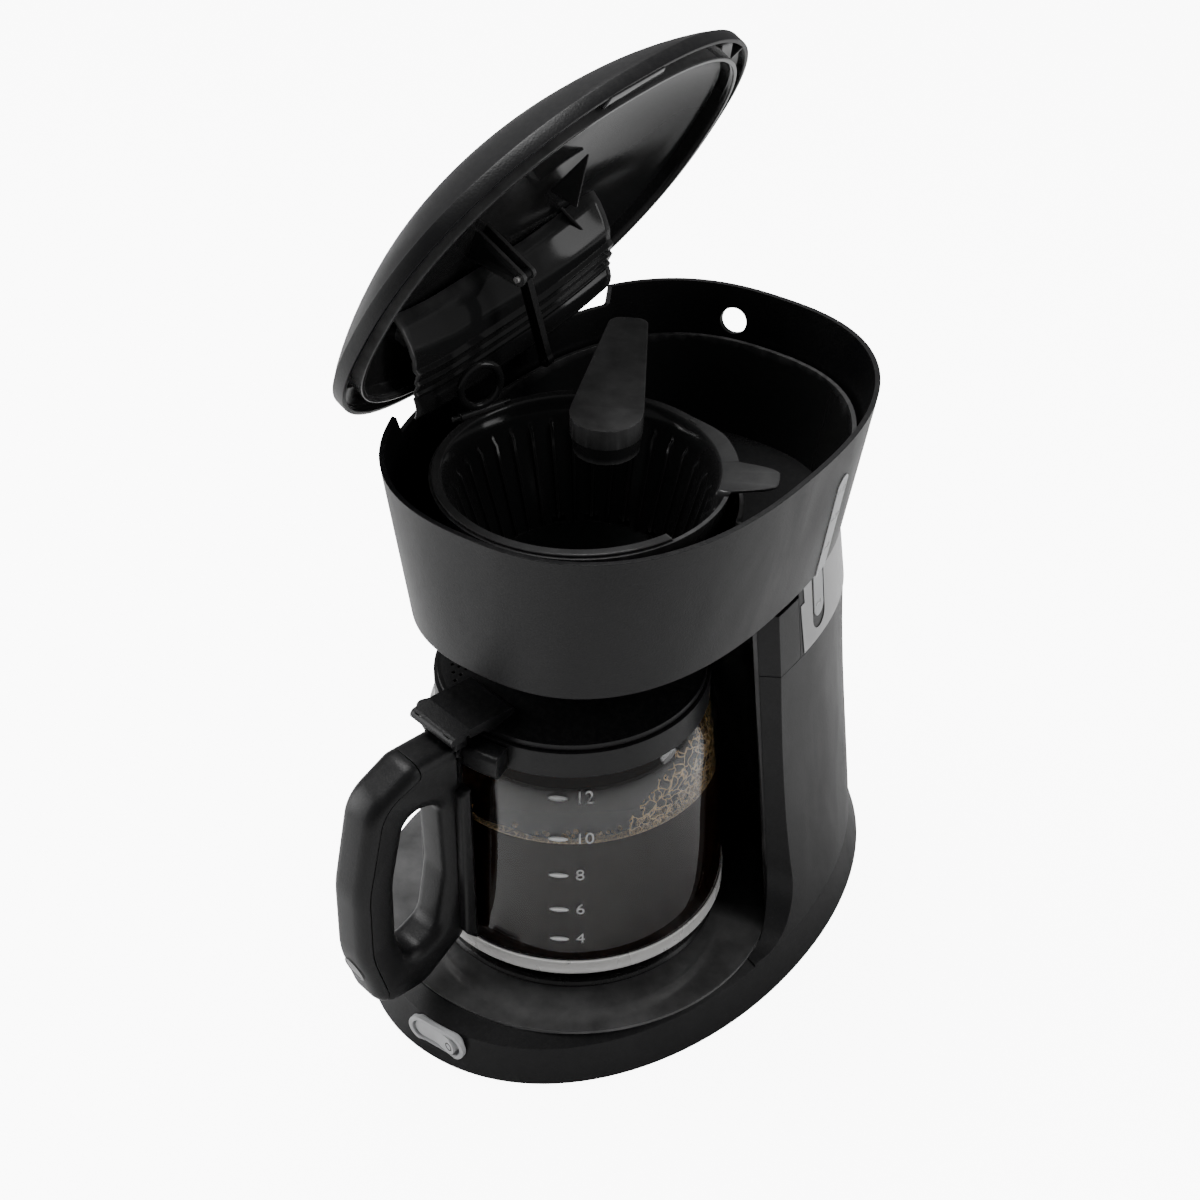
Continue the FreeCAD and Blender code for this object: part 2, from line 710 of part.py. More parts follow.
caps = skirt_form(0, seam_height + 0.3, CAP_TOP).common(
    boxed((-120, 30, 100), (120, CAP_BACK, 250)))
caps = caps.cut(bay_cone(size("liner_wall"), seam_height - 5, CAP_TOP + 5))
for cutter in pillar_cutters(0):
    caps = caps.cut(cutter)
caps = caps.common(boxed((-120, 30, 100), (-60, 90, 250)).fuse(boxed((60, 30, 100), (120, 90, 250))))
shaped("pillar_caps", caps)


TANK_GAP = 2.4


def make_tank(inset, floor, top):
    """One skin of the tub: its low part behind the bay and its high part beside the well."""
    low = skirt_form(wall + 0.4 + inset, size("tank_bottom") + floor, band_bottom + 1.0)
    low = low.cut(bay_cone(size("liner_wall") + 3.0 + inset, 170, 215))
    low = low.common(half_space(CAP_BACK + 0.6 + inset))
    mid = band_form(wall + TANK_GAP + inset, band_bottom + 0.4 + floor, top)
    mid = mid.common(half_space(24.0 + inset))
    mid = mid.cut(Part.makeCylinder(71.0 + inset, 150, Vector(0, 0, 170)))
    return low.fuse(mid).cut(conduit(1.8 if inset else 0))


tank_skin = size("tank_skin")
tank = make_tank(0, 0, size("tank_top")).cut(make_tank(tank_skin, tank_skin, size("tank_top") + 1))
tank = tank.cut(window_prism(0.15))
tank = tank.cut(rod(tube_in, (COLD_X, COLD_Y, 160), (COLD_X, COLD_Y, 190)))
tank = tank.fuse(rod(tube_out + 1.6, (COLD_X, COLD_Y, 170), (COLD_X, COLD_Y, 178)).cut(
    rod(tube_in, (COLD_X, COLD_Y, 160), (COLD_X, COLD_Y, 190))))
shaped("water_tank", tank)

window = window_prism(0).common(outer_form(-0.5)).cut(outer_form(wall + TANK_GAP + tank_skin))
shaped("water_window", window)
frame_ring = window_prism(3.0).cut(window_prism(0.3))
frame_ring = frame_ring.common(band_form(wall + TANK_GAP + 0.1 + tank_skin, 214, 285))
frame_ring = frame_ring.cut(band_form(wall + TANK_GAP + 1.5 + tank_skin, 214, 285))
frame_ring = frame_ring.common(boxed((60, 0, 214.5), (120, 200, size("tank_top") - 0.5)))
shaped("window_gasket", frame_ring)
print("tank")

# the brew well: a tapered cup in a level deck that closes the head underneath
deck_low = size("deck_bottom")
deck = band_form(wall + 0.4, deck_low, deck_low + 2.2)
deck = deck.common(boxed((-120, -120, 200), (120, 23.6, 220)).fuse(rod(70.6, (0, 0, 200), (0, 0, 220))))
skin = size("well_skin")
taper = (size("well_rim_radius") - size("well_floor_radius")) / (
    size("well_rim_height") - size("well_floor"))


def well_radius(height):
    return size("well_floor_radius") + taper * (height - size("well_floor"))


rim_z = size("well_rim_height")
floor_z = size("well_floor")
outer_well = Part.makeCone(well_radius(floor_z - skin) + skin, well_radius(rim_z) + skin,
                           rim_z - floor_z + skin, Vector(0, 0, floor_z - skin))
inner_well = Part.makeCone(well_radius(floor_z), well_radius(rim_z + 1), rim_z + 1 - floor_z,
                           Vector(0, 0, floor_z))
well = deck.fuse(outer_well).cut(inner_well)
nozzle = rod(9.0, (0, 0, floor_z - 8), (0, 0, floor_z - skin)).cut(
    rod(size("drip_hole_radius"), (0, 0, 180), (0, 0, 210)))
well = well.cut(rod(size("drip_hole_radius"), (0, 0, 180), (0, 0, 210))).fuse(nozzle)
shaped("brew_well", well)

# ---- drip stop ---------------------------------------------------------------------------------

ring("drip_seal", "plunger_radius + 3.2", "plunger_radius + 0.3", "1.2", (0, 0, floor_z))
turned("drip_plunger", [
    (0, "plunger_tip"), ("plunger_radius - 1.6", "plunger_tip"),
    ("plunger_radius", "plunger_tip + 1.6"), ("plunger_radius", "well_floor + 1.5"),
    ("plunger_radius + 3", "well_floor + 1.5"), ("plunger_radius + 3", "well_floor + 3.1"),
    (0, "well_floor + 3.1")])

# ---- basket ----------------------------------------------------------------------------------------


def make_basket():
    top, thick = size("flange_top"), size("flange_thickness")
    bottom, thin = size("basket_floor"), size("basket_skin")
    high_r, low_r = size("basket_radius"), size("basket_floor_radius")
    cup = Part.makeCone(low_r + thin, high_r + thin, top - bottom, Vector(0, 0, bottom))
    flange = Part.makeCylinder(size("flange_radius"), thick, Vector(0, 0, top - thick))
    wide = slab([(10, 20, 0), (30, 62, 10), (62, 40, 8), (71, 52, 5), (78, 44, 5), (66, 24, 6),
                 (50, 0, 0)], level(top - thick), (0, 0, thick))
    inside = Part.makeCone(low_r, high_r, top - bottom, Vector(0, 0, bottom + thin))
    inside = inside.fuse(Part.makeCylinder(high_r, 5, Vector(0, 0, top - 1)))
    basket = cup.fuse(flange).fuse(wide).cut(inside)
    for angle in (-100, -80, 40, 80):
        window = boxed((low_r - 6, -3, bottom + 3.2), (low_r + 8, 3, bottom + 6.2))
        window.rotate(Vector(), Vector(0, 0, 1), angle)
        basket = basket.cut(window)
    basket = basket.cut(Part.makeCylinder(4.0, 20, Vector(0, 0, bottom - 10)))
    for offset in (-13.5, 13.5):
        lug = boxed((-1.6, offset - 1.3, top - 0.5), (4.0, offset + 1.3, top + 6.2))
        lug = lug.cut(rod(1.26, (1.0, offset - 5, top + 3), (1.0, offset + 5, top + 3)))
        lug.Placement = ring_place()
        basket = basket.fuse(lug)
    return basket


RING_TURN = -20.0
RING_MIDDLE = (-64.0, 9.0)


def ring_place():
    return Placement(Vector(*RING_MIDDLE, 0), Rotation(Vector(0, 0, 1), RING_TURN))


shaped("filter_basket", make_basket())
print("basket")

ring_low = size("flange_top") + 3
hoop = Part.makeTorus(10.6, 1.9, Vector(1.0, 0, ring_low + 13.2), Vector(1, 0, 0))
bar = rod(1.2, (1.0, -15.4, ring_low), (1.0, 15.4, ring_low))
cross = rod(1.9, (1.0, -11.4, ring_low), (1.0, 11.4, ring_low))
tab = boxed((0.2, -6, ring_low), (1.8, 6, ring_low + 5))
shaped("basket_ring", hoop.fuse(bar).fuse(cross).fuse(tab), ring_place())

# ---- spout arm --------------------------------------------------------------------------------------

tip_x, tip_y = size("arm_tip_east"), size("arm_tip_north")
arm_top, arm_low = size("arm_top"), size("arm_bottom")
root_x, root_y = riser_x, riser_y + 4
reach = math.hypot(tip_x - root_x, tip_y - root_y)
arm_turn = math.degrees(math.atan2(tip_y - root_y, tip_x - root_x))
tip_r = size("arm_tip_radius")
plan = [(-9.5, -9.0, 6), (reach - 4, -tip_r, 3), (reach + tip_r, -tip_r, tip_r * 0.99),
        (reach + tip_r, tip_r, tip_r * 0.99), (reach - 4, tip_r, 3), (-9.5, 9.0, 6)]
arm = slab(plan, level(arm_low), (0, 0, arm_top - arm_low))
tip_low = size("arm_tip_bottom")
skirt = Part.makeCone(tip_r - 1.4, tip_r - 0.2, arm_low - tip_low + 0.5, Vector(reach, 0, tip_low))
arm = arm.fuse(skirt)
arm = arm.cut(Part.makeCylinder(tip_r - 3.2, arm_low + 5 - tip_low, Vector(reach, 0, tip_low - 1)))
arm = arm.cut(boxed((0, -3.2, arm_low - 1), (reach, 3.2, arm_low + 5)))
arm = arm.fuse(Part.makeCylinder(8.4, arm_low - 272, Vector(0, 0, 272)))
arm = arm.cut(Part.makeCylinder(tube_out + 0.9, 22.5, Vector(0, 0, 270)))
arm_place = Placement(Vector(root_x, root_y, 0), Rotation(Vector(0, 0, 1), arm_turn))
shaped("spout_arm", arm, arm_place)
shower = Part.makeCylinder(tip_r - 3.3, 1.4, Vector(reach, 0, tip_low + 1.5))
for number in range(6):
    angle = math.radians(60 * number)
    hole = Part.makeCylinder(1.3, 5, Vector(reach + 7 * math.cos(angle), 7 * math.sin(angle), tip_low))
    shower = shower.cut(hole)
shaped("shower_plate", shower, arm_place)
socket = rod(8.4, (root_x, root_y, size("tank_top") + 0.2), (root_x, root_y, size("tank_top") + 4))
neck = rod(tube_out + 0.6, (root_x, root_y, size("tank_top")), (root_x, root_y, 288))
socket = socket.fuse(neck).cut(rod(tube_in, (root_x, root_y, 250), (root_x, root_y, 300)))
shaped("spout_socket", socket)

# ---- lid ------------------------------------------------------------------------------------------------

hinge_x, hinge_z = size("hinge_east"), size("hinge_height")
lid_open = Placement(Vector(), Rotation(Vector(0, 1, 0), -size("lid_angle")),
                     Vector(hinge_x, 0, hinge_z))
LID_BAND = 6.5
LID_CROWN = 30.0
# how wide the crown is at each section, as a share of the lid
CROWN_SHARES = (1.0, 0.96, 0.9, 0.82, 0.72, 0.6, 0.46, 0.3, 0.12)


def lid_form(inset, drop):
    """The lid's upright edge band with its crown above it, as one solid."""
    bottom = size("lid_bottom") - drop
    width, depth = size("lid_half_width") - inset, size("lid_half_depth") - inset
    middle = size("lid_middle")
    edge = [oval(bottom + rise, width, depth, middle, 2.35) for rise in (0, LID_BAND)]
    crown = []
    for share in CROWN_SHARES:
        rise = LID_BAND + LID_CROWN * (1 - share ** 3)
        crown.append(oval(bottom + rise, width * share, depth * share, middle, 2.0 + 0.35 * share))
    return loft(edge, ruled=True).fuse(loft(crown))


def lid_prism(inset, low):
    rings = [oval(h, size("lid_half_width") - inset, size("lid_half_depth") - inset,
                  size("lid_middle"), 2.35) for h in (low, 340)]
    return loft(rings, ruled=True)


lid_skin = size("lid_skin")
lid_low = size("lid_bottom")
lid_shell = lid_form(0, 0).cut(lid_form(lid_skin, lid_skin + 0.01))
shaped("lid_shell", lid_shell, lid_open)
print("lid_shell")

LINER_INSET = 9.0
deep = boxed((-150, -150, 284), (150, 250, lid_low + 2))
liner_low = lid_low - 1.6
liner_out = lid_form(lid_skin + 0.3, lid_skin + 0.3).fuse(lid_prism(3, 282).common(deep)).common(
    lid_prism(LINER_INSET, liner_low))
liner_in = lid_form(lid_skin + 1.9, lid_skin + 1.9).fuse(lid_prism(3, 282).common(deep)).common(
    lid_prism(LINER_INSET + 1.8, liner_low - 1))
liner = liner_out.cut(liner_in)
hinge_front, hinge_back = size("hinge_front"), size("hinge_back")
liner = liner.cut(boxed((-100, hinge_front - 2, 280), (-80, hinge_back + 2, 292.6)))
knuckle_front, knuckle_back = hinge_front + 6, hinge_back - 6
barrel = rod(5.0, (hinge_x, knuckle_front, hinge_z), (hinge_x, knuckle_back, hinge_z))
web = boxed((hinge_x - 2, knuckle_front, hinge_z), (hinge_x + 5, knuckle_back, 295.4))
web = web.common(lid_form(lid_skin + 0.3, lid_skin + 0.3).fuse(boxed((-95, 0, 280), (-70, 90, 291))))
liner = liner.fuse(barrel).fuse(web)
liner = liner.cut(rod(size("hinge_pin_radius") + 0.06, (hinge_x, 0, hinge_z), (hinge_x, 90, hinge_z)))
STAY = Vector(-37.0, 47.0, 289.7)
for offset in (-4.6, 2.4):
    rail = slab([(STAY.x - 16, 325, 0), (STAY.x - 3.4, STAY.z - 3.4, 3), (STAY.x + 3.4, STAY.z - 3.4, 3),
                 (STAY.x + 3.4, 325, 0)], lambda v: Vector(v.x, STAY.y + offset, v.y), (0, 2.2, 0))
    rail = rail.common(lid_form(lid_skin + 0.3, lid_skin + 0.3).fuse(
        boxed((-60, 0, 280), (-20, 90, 292))))
    liner = liner.fuse(rail)
liner = liner.cut(rod(1.56, (STAY.x, STAY.y - 8, STAY.z), (STAY.x, STAY.y + 8, STAY.z)))
shaped("lid_liner", liner, lid_open)
shaped("stay_pin", rod(1.5, (STAY.x, STAY.y - 6.4, STAY.z), (STAY.x, STAY.y + 6.4, STAY.z)), lid_open)
shaped("lid_hinge_pin", rod(size("hinge_pin_radius"), (hinge_x, hinge_front - 1, hinge_z),
                            (hinge_x, hinge_back + 1, hinge_z)))

# the stay: a flat link that hangs from the lid's rails towards the housing
STAY_LENGTH = 42.0
STAY_REST = -133.3
link = boxed((0, STAY.y - 1.9, -2.6), (STAY_LENGTH, STAY.y + 1.9, 2.6))
link = link.fuse(rod(3.2, (0, STAY.y - 1.9, 0), (0, STAY.y + 1.9, 0)))
link = link.fuse(rod(3.2, (STAY_LENGTH, STAY.y - 1.9, 0), (STAY_LENGTH, STAY.y + 1.9, 0)))
link = link.cut(rod(1.56, (0, 0, 0), (0, 90, 0))).cut(rod(1.3, (STAY_LENGTH, 0, 0), (STAY_LENGTH, 90, 0)))
link_turn = Placement(Vector(STAY.x, 0, STAY.z), Rotation(Vector(0, 1, 0), -STAY_REST))
shaped("lid_stay", link, lid_open.multiply(link_turn))
print("lid")

# ---- carafe -----------------------------------------------------------------------------------------------

carafe_at = (0, size("carafe_middle"), 0)
# radius and height of the glass's outer profile, from the foot to the mouth
GLASS = ((60.0, 31.8), (68.0, 33.6), (73.4, 40.0), (74.1, 50.0), (74.0, 62.0), (73.2, 84.0),
         (72.4, 104.0), (71.6, 124.0), (70.4, 140.0), (68.2, 150.0), (64.6, 158.0), (61.6, 164.0),
         (60.5, 170.0))


def spun(profile, inner):
    """A thin turned vessel: a smooth outer profile and the same profile moved inward."""
    outer_curve = Part.BSplineCurve()
    outer_curve.interpolate([Vector(r, 0, z) for r, z in profile])
    edges = [outer_curve.toShape()]
    top_r, top_z = profile[-1]
    foot_r, foot_z = profile[0]
    edges.append(Part.LineSegment(Vector(top_r, 0, top_z), Vector(0, 0, top_z)).toShape())
    edges.append(Part.LineSegment(Vector(0, 0, top_z), Vector(0, 0, foot_z)).toShape())
    edges.append(Part.LineSegment(Vector(0, 0, foot_z), Vector(foot_r, 0, foot_z)).toShape())
    face = Part.Face(Part.Wire(Part.__sortEdges__(edges)))
    solid = face.revolve(Vector(), Vector(0, 0, 1), 360)
    solid = solid.Solids[0] if solid.Solids else Part.Solid(solid)
    if inner:
        inside = [(r - inner, z + (inner if z < 36 else 0)) for r, z in profile]
        solid = solid.cut(spun(inside, 0))
        solid = solid.cut(Part.makeCylinder(top_r - inner, 4, Vector(0, 0, top_z - 2)))
    return solid


glass = spun(GLASS, size("glass_skin"))
glass.translate(Vector(*carafe_at))
shaped("carafe_glass", glass)
ring("steel_band", "band_ring_radius", "band_ring_radius - 0.9", "band_ring_height",
     (0, size("carafe_middle"), size("band_ring_bottom")))

turn = math.radians(size("handle_angle"))
outward = Vector(math.sin(turn), -math.cos(turn), 0)
sideways = Vector(outward.y, -outward.x, 0)


def handle_plane(offset):
    start = Vector(*carafe_at) + sideways * offset
    return lambda v: start + outward * v.x + Vector(0, 0, v.y)


def plate(corners, width):
    return slab(corners, handle_plane(-width / 2), sideways * width)


collar_low, collar_high = size("collar_bottom"), size("collar_top")
collar_r = size("collar_radius")
collar = Part.makeCylinder(collar_r, collar_high - collar_low, Vector(0, size("carafe_middle"), collar_low))
collar_bore = spun([(r + 0.05, z) for r, z in GLASS], 0)
collar_bore.translate(Vector(*carafe_at))
collar = collar.cut(collar_bore)
collar = collar.cut(Part.makeCylinder(60.6, 30, Vector(0, size("carafe_middle"), 160)))
shaped("carafe_collar", collar)

# radius and height of the carafe lid's pivot, and the ears that hold its pin
PIVOT = (75.5, 178.0)
EAR = [(73.8, 168.6, 0), (72.4, 179.2, 1.5), (75.5, 180.4, 1.5), (79.0, 179.2, 1.5), (81.0, 168.6, 0)]
HANDLE_OUT = [(73.6, 148.0, 4), (73.6, 172.0, 2), (104.0, 172.0, 12), (128.0, 160.0, 22),
              (139.0, 112.0, 60), (140.0, 72.0, 60), (131.0, 37.0, 14), (104.0, 36.0, 20),
              (78.0, 54.0, 8), (76.4, 80.0, 0)]
HANDLE_GAP = [(89.0, 142.0, 9), (108.0, 148.0, 12), (117.0, 112.0, 50), (118.0, 76.0, 30),
              (112.0, 58.0, 9), (94.0, 66.0, 10), (88.0, 96.0, 30)]
thick = size("handle_thickness")
loop = plate(HANDLE_OUT, thick).cut(plate(HANDLE_GAP, thick + 2))
strip = plate([(74.0, 52.0, 0), (74.0, 150.0, 0), (82.0, 150.0, 4), (83.0, 60.0, 6)],
              size("handle_strip_width"))
loop = loop.fuse(strip)
# a bridge hugs the collar and carries the loop
BRIDGE_ANGLE = 44.0
bridge = Part.makeCylinder(77.0, 12.5, Vector(), Vector(0, 0, 1), BRIDGE_ANGLE)
bridge.Placement = Placement(Vector(*carafe_at) + Vector(0, 0, collar_low + 0.5), Rotation(
    Vector(0, 0, 1), size("handle_angle") - 90 - BRIDGE_ANGLE / 2))
loop = loop.fuse(bridge)
keep_out = Part.makeCylinder(75.6, 118, Vector(0, size("carafe_middle"), 32))
loop = loop.cut(keep_out)
loop = loop.cut(Part.makeCylinder(collar_r + 0.05, 40, Vector(0, size("carafe_middle"), 149.9)))
# the grip panel is the outer skin of the same loop
PANEL_IN = [(100.0, 190.0, 0), (100.0, 166.0, 3), (121.5, 158.0, 18), (133.0, 112.0, 55),
            (134.0, 74.0, 50), (127.0, 47.0, 8), (127.0, 20.0, 0), (170.0, 20.0, 0), (170.0, 190.0, 0)]
panel_zone = plate(PANEL_IN, thick + 2)
panel = loop.common(panel_zone)
handle = loop.cut(panel_zone)
pivot_point = Vector(*carafe_at) + outward * PIVOT[0] + Vector(0, 0, PIVOT[1])
pivot_line = [pivot_point - sideways * 12.5, pivot_point + sideways * 12.5]
for low in (-11.9, 8.6):
    handle = handle.fuse(slab(EAR, handle_plane(low), sideways * 3.3))
handle = handle.cut(rod(1.51, tuple(pivot_line[0] - sideways * 5), tuple(pivot_line[1] + sideways * 5)))
shaped("carafe_handle", handle)
badge_mid = Vector(*carafe_at) + outward * 139.0 + Vector(0, 0, 62.0)
badge_at = Part.makeCylinder(7.0, 12.0, badge_mid - outward * 4.0, outward)
panel = panel.cut(badge_at.common(plate([(134.6, 20, 0), (160, 20, 0), (160, 110, 0), (134.6, 110, 0)], 30)))
shaped("handle_grip_panel", panel)
badge = Part.makeCylinder(6.9, 12.0, badge_mid - outward * 4.0, outward).common(
    plate(HANDLE_OUT, thick)).common(
    plate([(134.7, 20, 0), (160, 20, 0), (160, 110, 0), (134.7, 110, 0)], 30))
shaped("handle_badge", badge)

# carafe lid with its funnel and the thumb lever over the handle
cover_low = collar_high + 0.6
cover = Part.makeCylinder(63.8, 3.0, Vector(0, size("carafe_middle"), cover_low))
dome = Part.makeCone(62.0, 40.0, 5.0, Vector(0, size("carafe_middle"), cover_low + 3.0))
funnel = Part.makeCone(12.0, 36.0, 7.0, Vector(0, 0, cover_low + 1.2))
cover = cover.fuse(dome).cut(funnel)
cover = cover.cut(rod(4.0, (0, 0, cover_low - 2), (0, 0, cover_low + 5)))
lever = plate([(48.0, cover_low + 2, 0), (48.0, cover_low + 8.8, 2), (74.0, cover_low + 9.8, 3),
               (85.0, cover_low + 8.6, 3), (85.0, cover_low + 5.2, 0), (66.0, cover_low + 4.4, 0),
               (64.0, cover_low + 2, 0)], 30.0)
cover = cover.fuse(lever)
knuckle_low, knuckle_high = PIVOT[1] - 2.6, PIVOT[1] + 2.5
knuckle = plate([(62.0, cover_low + 0.6, 0), (62.0, knuckle_high, 0), (77.0, knuckle_high, 3),
                 (77.0, knuckle_low, 2.5), (70.0, knuckle_low, 2), (69.0, cover_low + 0.6, 0)], 16.0)
cover = cover.fuse(knuckle)
cover = cover.cut(rod(1.56, tuple(pivot_line[0] - sideways * 5), tuple(pivot_line[1] + sideways * 5)))
for number in range(5):
    for row in range(4):
        spot = Vector(-33 - 4.2 * row, -38 - 4.2 * number, 160)
        if math.hypot(spot.x, spot.y - size("carafe_middle")) < 58:
            cover = cover.cut(Part.makeCylinder(0.9, 30, spot))
for low in (-12.4, 8.1):
    pocket = [(66.0, 165.0, 0), (66.0, 181.0, 0), (84.0, 181.0, 0), (84.0, 165.0, 0)]
    cover = cover.cut(slab(pocket, handle_plane(low), sideways * 4.3))
shaped("carafe_lid", cover)
shaped("carafe_lid_pin", rod(1.5, tuple(pivot_line[0]), tuple(pivot_line[1])))
print("carafe")


# ---- drip spring ---------------------------------------------------------------------------------------


def coil_spring(radius, wire, low, high, turns):
    """A compression spring: a round wire swept along a helix."""
    rise = (high - low - wire * 2) / turns
    helix = Part.makeHelix(rise, rise * turns, radius)
    slope = math.atan2(rise, 2 * math.pi * radius)
    way = Vector(0, math.cos(slope), math.sin(slope))
    circle = Part.Wire([Part.makeCircle(wire, Vector(radius, 0, 0), way)])
    sweep = Part.BRepOffsetAPI.MakePipeShell(Part.Wire(helix))
    sweep.setFrenetMode(True)
    sweep.add(circle)
    sweep.build()
    sweep.makeSolid()
    coil = sweep.shape()
    coil.translate(Vector(0, 0, low + wire))
    return coil


shaped("drip_spring", coil_spring(5.6, 0.45, floor_z + 3.2, floor_z + 9.9, 4))
cage = rod(9.5, (0, 0, floor_z + 10.1), (0, 0, floor_z + 11.1)).cut(
    rod(3.0, (0, 0, 200), (0, 0, 230)))
for angle in (0, 120, 240):
    leg = boxed((8.6, -1.5, floor_z), (10.0, 1.5, floor_z + 11.1))
    leg.rotate(Vector(), Vector(0, 0, 1), angle)
    cage = cage.fuse(leg)
shaped("spring_cage", cage)

# ---- checks and export -------------------------------------------------------------------------------------

doc.recompute()
broken = [o.Label for o in doc.Objects if "Invalid" in o.State or "Error" in o.State]
for piece in PARTS:
    if piece.Shape.isNull() or not piece.Shape.isValid():
        broken.append(piece.Label)
if broken:
    raise RuntimeError("failed objects: " + ", ".join(broken))
os.makedirs("parts", exist_ok=True)
for piece in PARTS:
    piece.Shape.exportStep(f"parts/{piece.Label}.step")
print(len(PARTS), "parts written")
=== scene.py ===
"""Looks of a drip coffee maker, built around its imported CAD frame.

Everything is in metres. Profiles and outlines are written in millimetres and scaled by MM.
The lid is drawn shut and then turned open about its hinge, as the frame has it.
"""

import json
import math
import random

import bmesh
import bpy
from bpy.props import FloatProperty, FloatVectorProperty, IntProperty, PointerProperty
from bpy.types import Operator, Panel, PropertyGroup
from mathutils import Matrix, Vector


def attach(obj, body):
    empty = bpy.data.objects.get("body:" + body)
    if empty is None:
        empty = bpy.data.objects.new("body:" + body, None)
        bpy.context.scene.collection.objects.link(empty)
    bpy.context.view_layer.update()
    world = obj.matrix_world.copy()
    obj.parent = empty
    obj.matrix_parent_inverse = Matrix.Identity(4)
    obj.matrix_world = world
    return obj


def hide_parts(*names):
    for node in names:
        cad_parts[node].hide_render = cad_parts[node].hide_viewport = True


bl_info = {
    "name": "Drip Coffee Maker Looks",
    "version": (1, 0, 0),
    "blender": (4, 5, 0),
    "location": "View3D > Sidebar > Coffee Maker",
    "description": "Builds the visible pieces and finishes of a drip coffee maker around its frame",
    "category": "Object",
}

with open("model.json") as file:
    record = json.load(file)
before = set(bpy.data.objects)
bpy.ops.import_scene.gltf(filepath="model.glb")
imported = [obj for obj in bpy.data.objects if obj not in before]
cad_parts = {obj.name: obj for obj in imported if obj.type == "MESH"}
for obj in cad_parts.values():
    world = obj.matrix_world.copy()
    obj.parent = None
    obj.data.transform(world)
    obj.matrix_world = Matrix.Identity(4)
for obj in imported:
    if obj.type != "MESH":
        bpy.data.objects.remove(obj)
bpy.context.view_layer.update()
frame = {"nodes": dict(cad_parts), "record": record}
NODES = frame["nodes"]
MM = 0.001


# ---- sizes and colours ---------------------------------------------------------------------------


def length(name, description, millimetres):
    return FloatProperty(name=name, description=description, default=millimetres * MM, unit="LENGTH")


def colour(name, description, value):
    return FloatVectorProperty(name=name, description=description, default=value, size=3,
                               subtype="COLOR")


class MakerSizes(PropertyGroup):
    """Sizes of the pieces that are drawn here."""

    rib_count: IntProperty(name="Basket ribs", description="Ribs around the filter basket",
                           default=36, min=8, max=72)
    rib_depth: length("Rib depth", "How far a basket rib stands in from the wall", 1.7)
    coffee_level: length("Coffee level", "Height of the coffee above the counter", 121.5)
    froth_width: length("Froth width", "Width of the froth ring at the glass", 5.0)
    mark_size: length("Numeral height", "Height of the printed level numerals", 6.6)
    handle_edge: length("Handle rounding", "Rounding of the handle's long edges", 6.5)


class MakerColours(PropertyGroup):
    """Colours of the finishes."""

    casing: colour("Casing", "Satin plastic of the casings", (0.0052, 0.0052, 0.0058))
    gloss: colour("Gloss plastic", "Polished plastic of the inner parts", (0.022, 0.022, 0.0225))
    switch: colour("Switch", "Grey plastic of the power switch", (0.52, 0.525, 0.535))
    window: colour("Window", "Frosted plastic of the water window", (0.68, 0.69, 0.70))
    coffee: colour("Coffee", "Brewed coffee", (0.013, 0.0045, 0.0025))
    froth: colour("Froth", "Froth on the coffee", (0.60, 0.39, 0.17))
    marks: colour("Printed marks", "White print on the glass", (0.85, 0.85, 0.85))
    floor: colour("Floor", "Pale floor under the machine", (0.86, 0.86, 0.86))


def sizes():
    return bpy.context.scene.maker_sizes


def colours():
    return bpy.context.scene.maker_colours


# ---- node helpers and shared effects -----------------------------------------------------------------


def add(tree, kind, inputs=None, **settings):
    """A node with its settings, and each input either a value or an output to link."""
    node = tree.nodes.new(kind)
    for key, value in settings.items():
        setattr(node, key, value)
    for key, value in (inputs or {}).items():
        if isinstance(value, bpy.types.NodeSocket):
            tree.links.new(value, node.inputs[key])
        else:
            node.inputs[key].default_value = value
    return node


def effect(name, inputs, outputs, build):
    """A shader node group, made once: build(tree, source) returns the outputs' sockets in order."""
    group = bpy.data.node_groups.get(name)
    if group:
        return group
    group = bpy.data.node_groups.new(name, "ShaderNodeTree")
    for label, kind, default in inputs:
        socket = group.interface.new_socket(name=label, in_out="INPUT", socket_type=kind)
        if kind != "NodeSocketVector":
            socket.default_value = default
    for label, kind in outputs:
        group.interface.new_socket(name=label, in_out="OUTPUT", socket_type=kind)
    source = group.nodes.new("NodeGroupInput")
    target = group.nodes.new("NodeGroupOutput")
    for (label, _), socket in zip(outputs, build(group, source)):
        group.links.new(socket, target.inputs[label])
    return group


FLOAT, VECTOR, COLOUR = "NodeSocketFloat", "NodeSocketVector", "NodeSocketColor"
WHITE = (1.0, 1.0, 1.0, 1.0)


def mapped(tree, value, low, high, start=0.0, end=1.0):
    """A value's range low to high, moved to start to end and held there."""
    return add(tree, "ShaderNodeMapRange", {"Value": value, "From Min": low, "From Max": high,
                                            "To Min": start, "To Max": end}).outputs["Result"]


def product(tree, first, second):
    return add(tree, "ShaderNodeMath", {0: first, 1: second}, operation="MULTIPLY").outputs["Value"]


def blended(tree, share, first, second):
    """Two colours mixed by a share from 0 to 1."""
    mix = add(tree, "ShaderNodeMix", data_type="RGBA")
    for index, value in ((0, share), (6, first), (7, second)):
        if isinstance(value, bpy.types.NodeSocket):
            tree.links.new(value, mix.inputs[index])
        else:
            mix.inputs[index].default_value = value
    return mix.outputs[2]


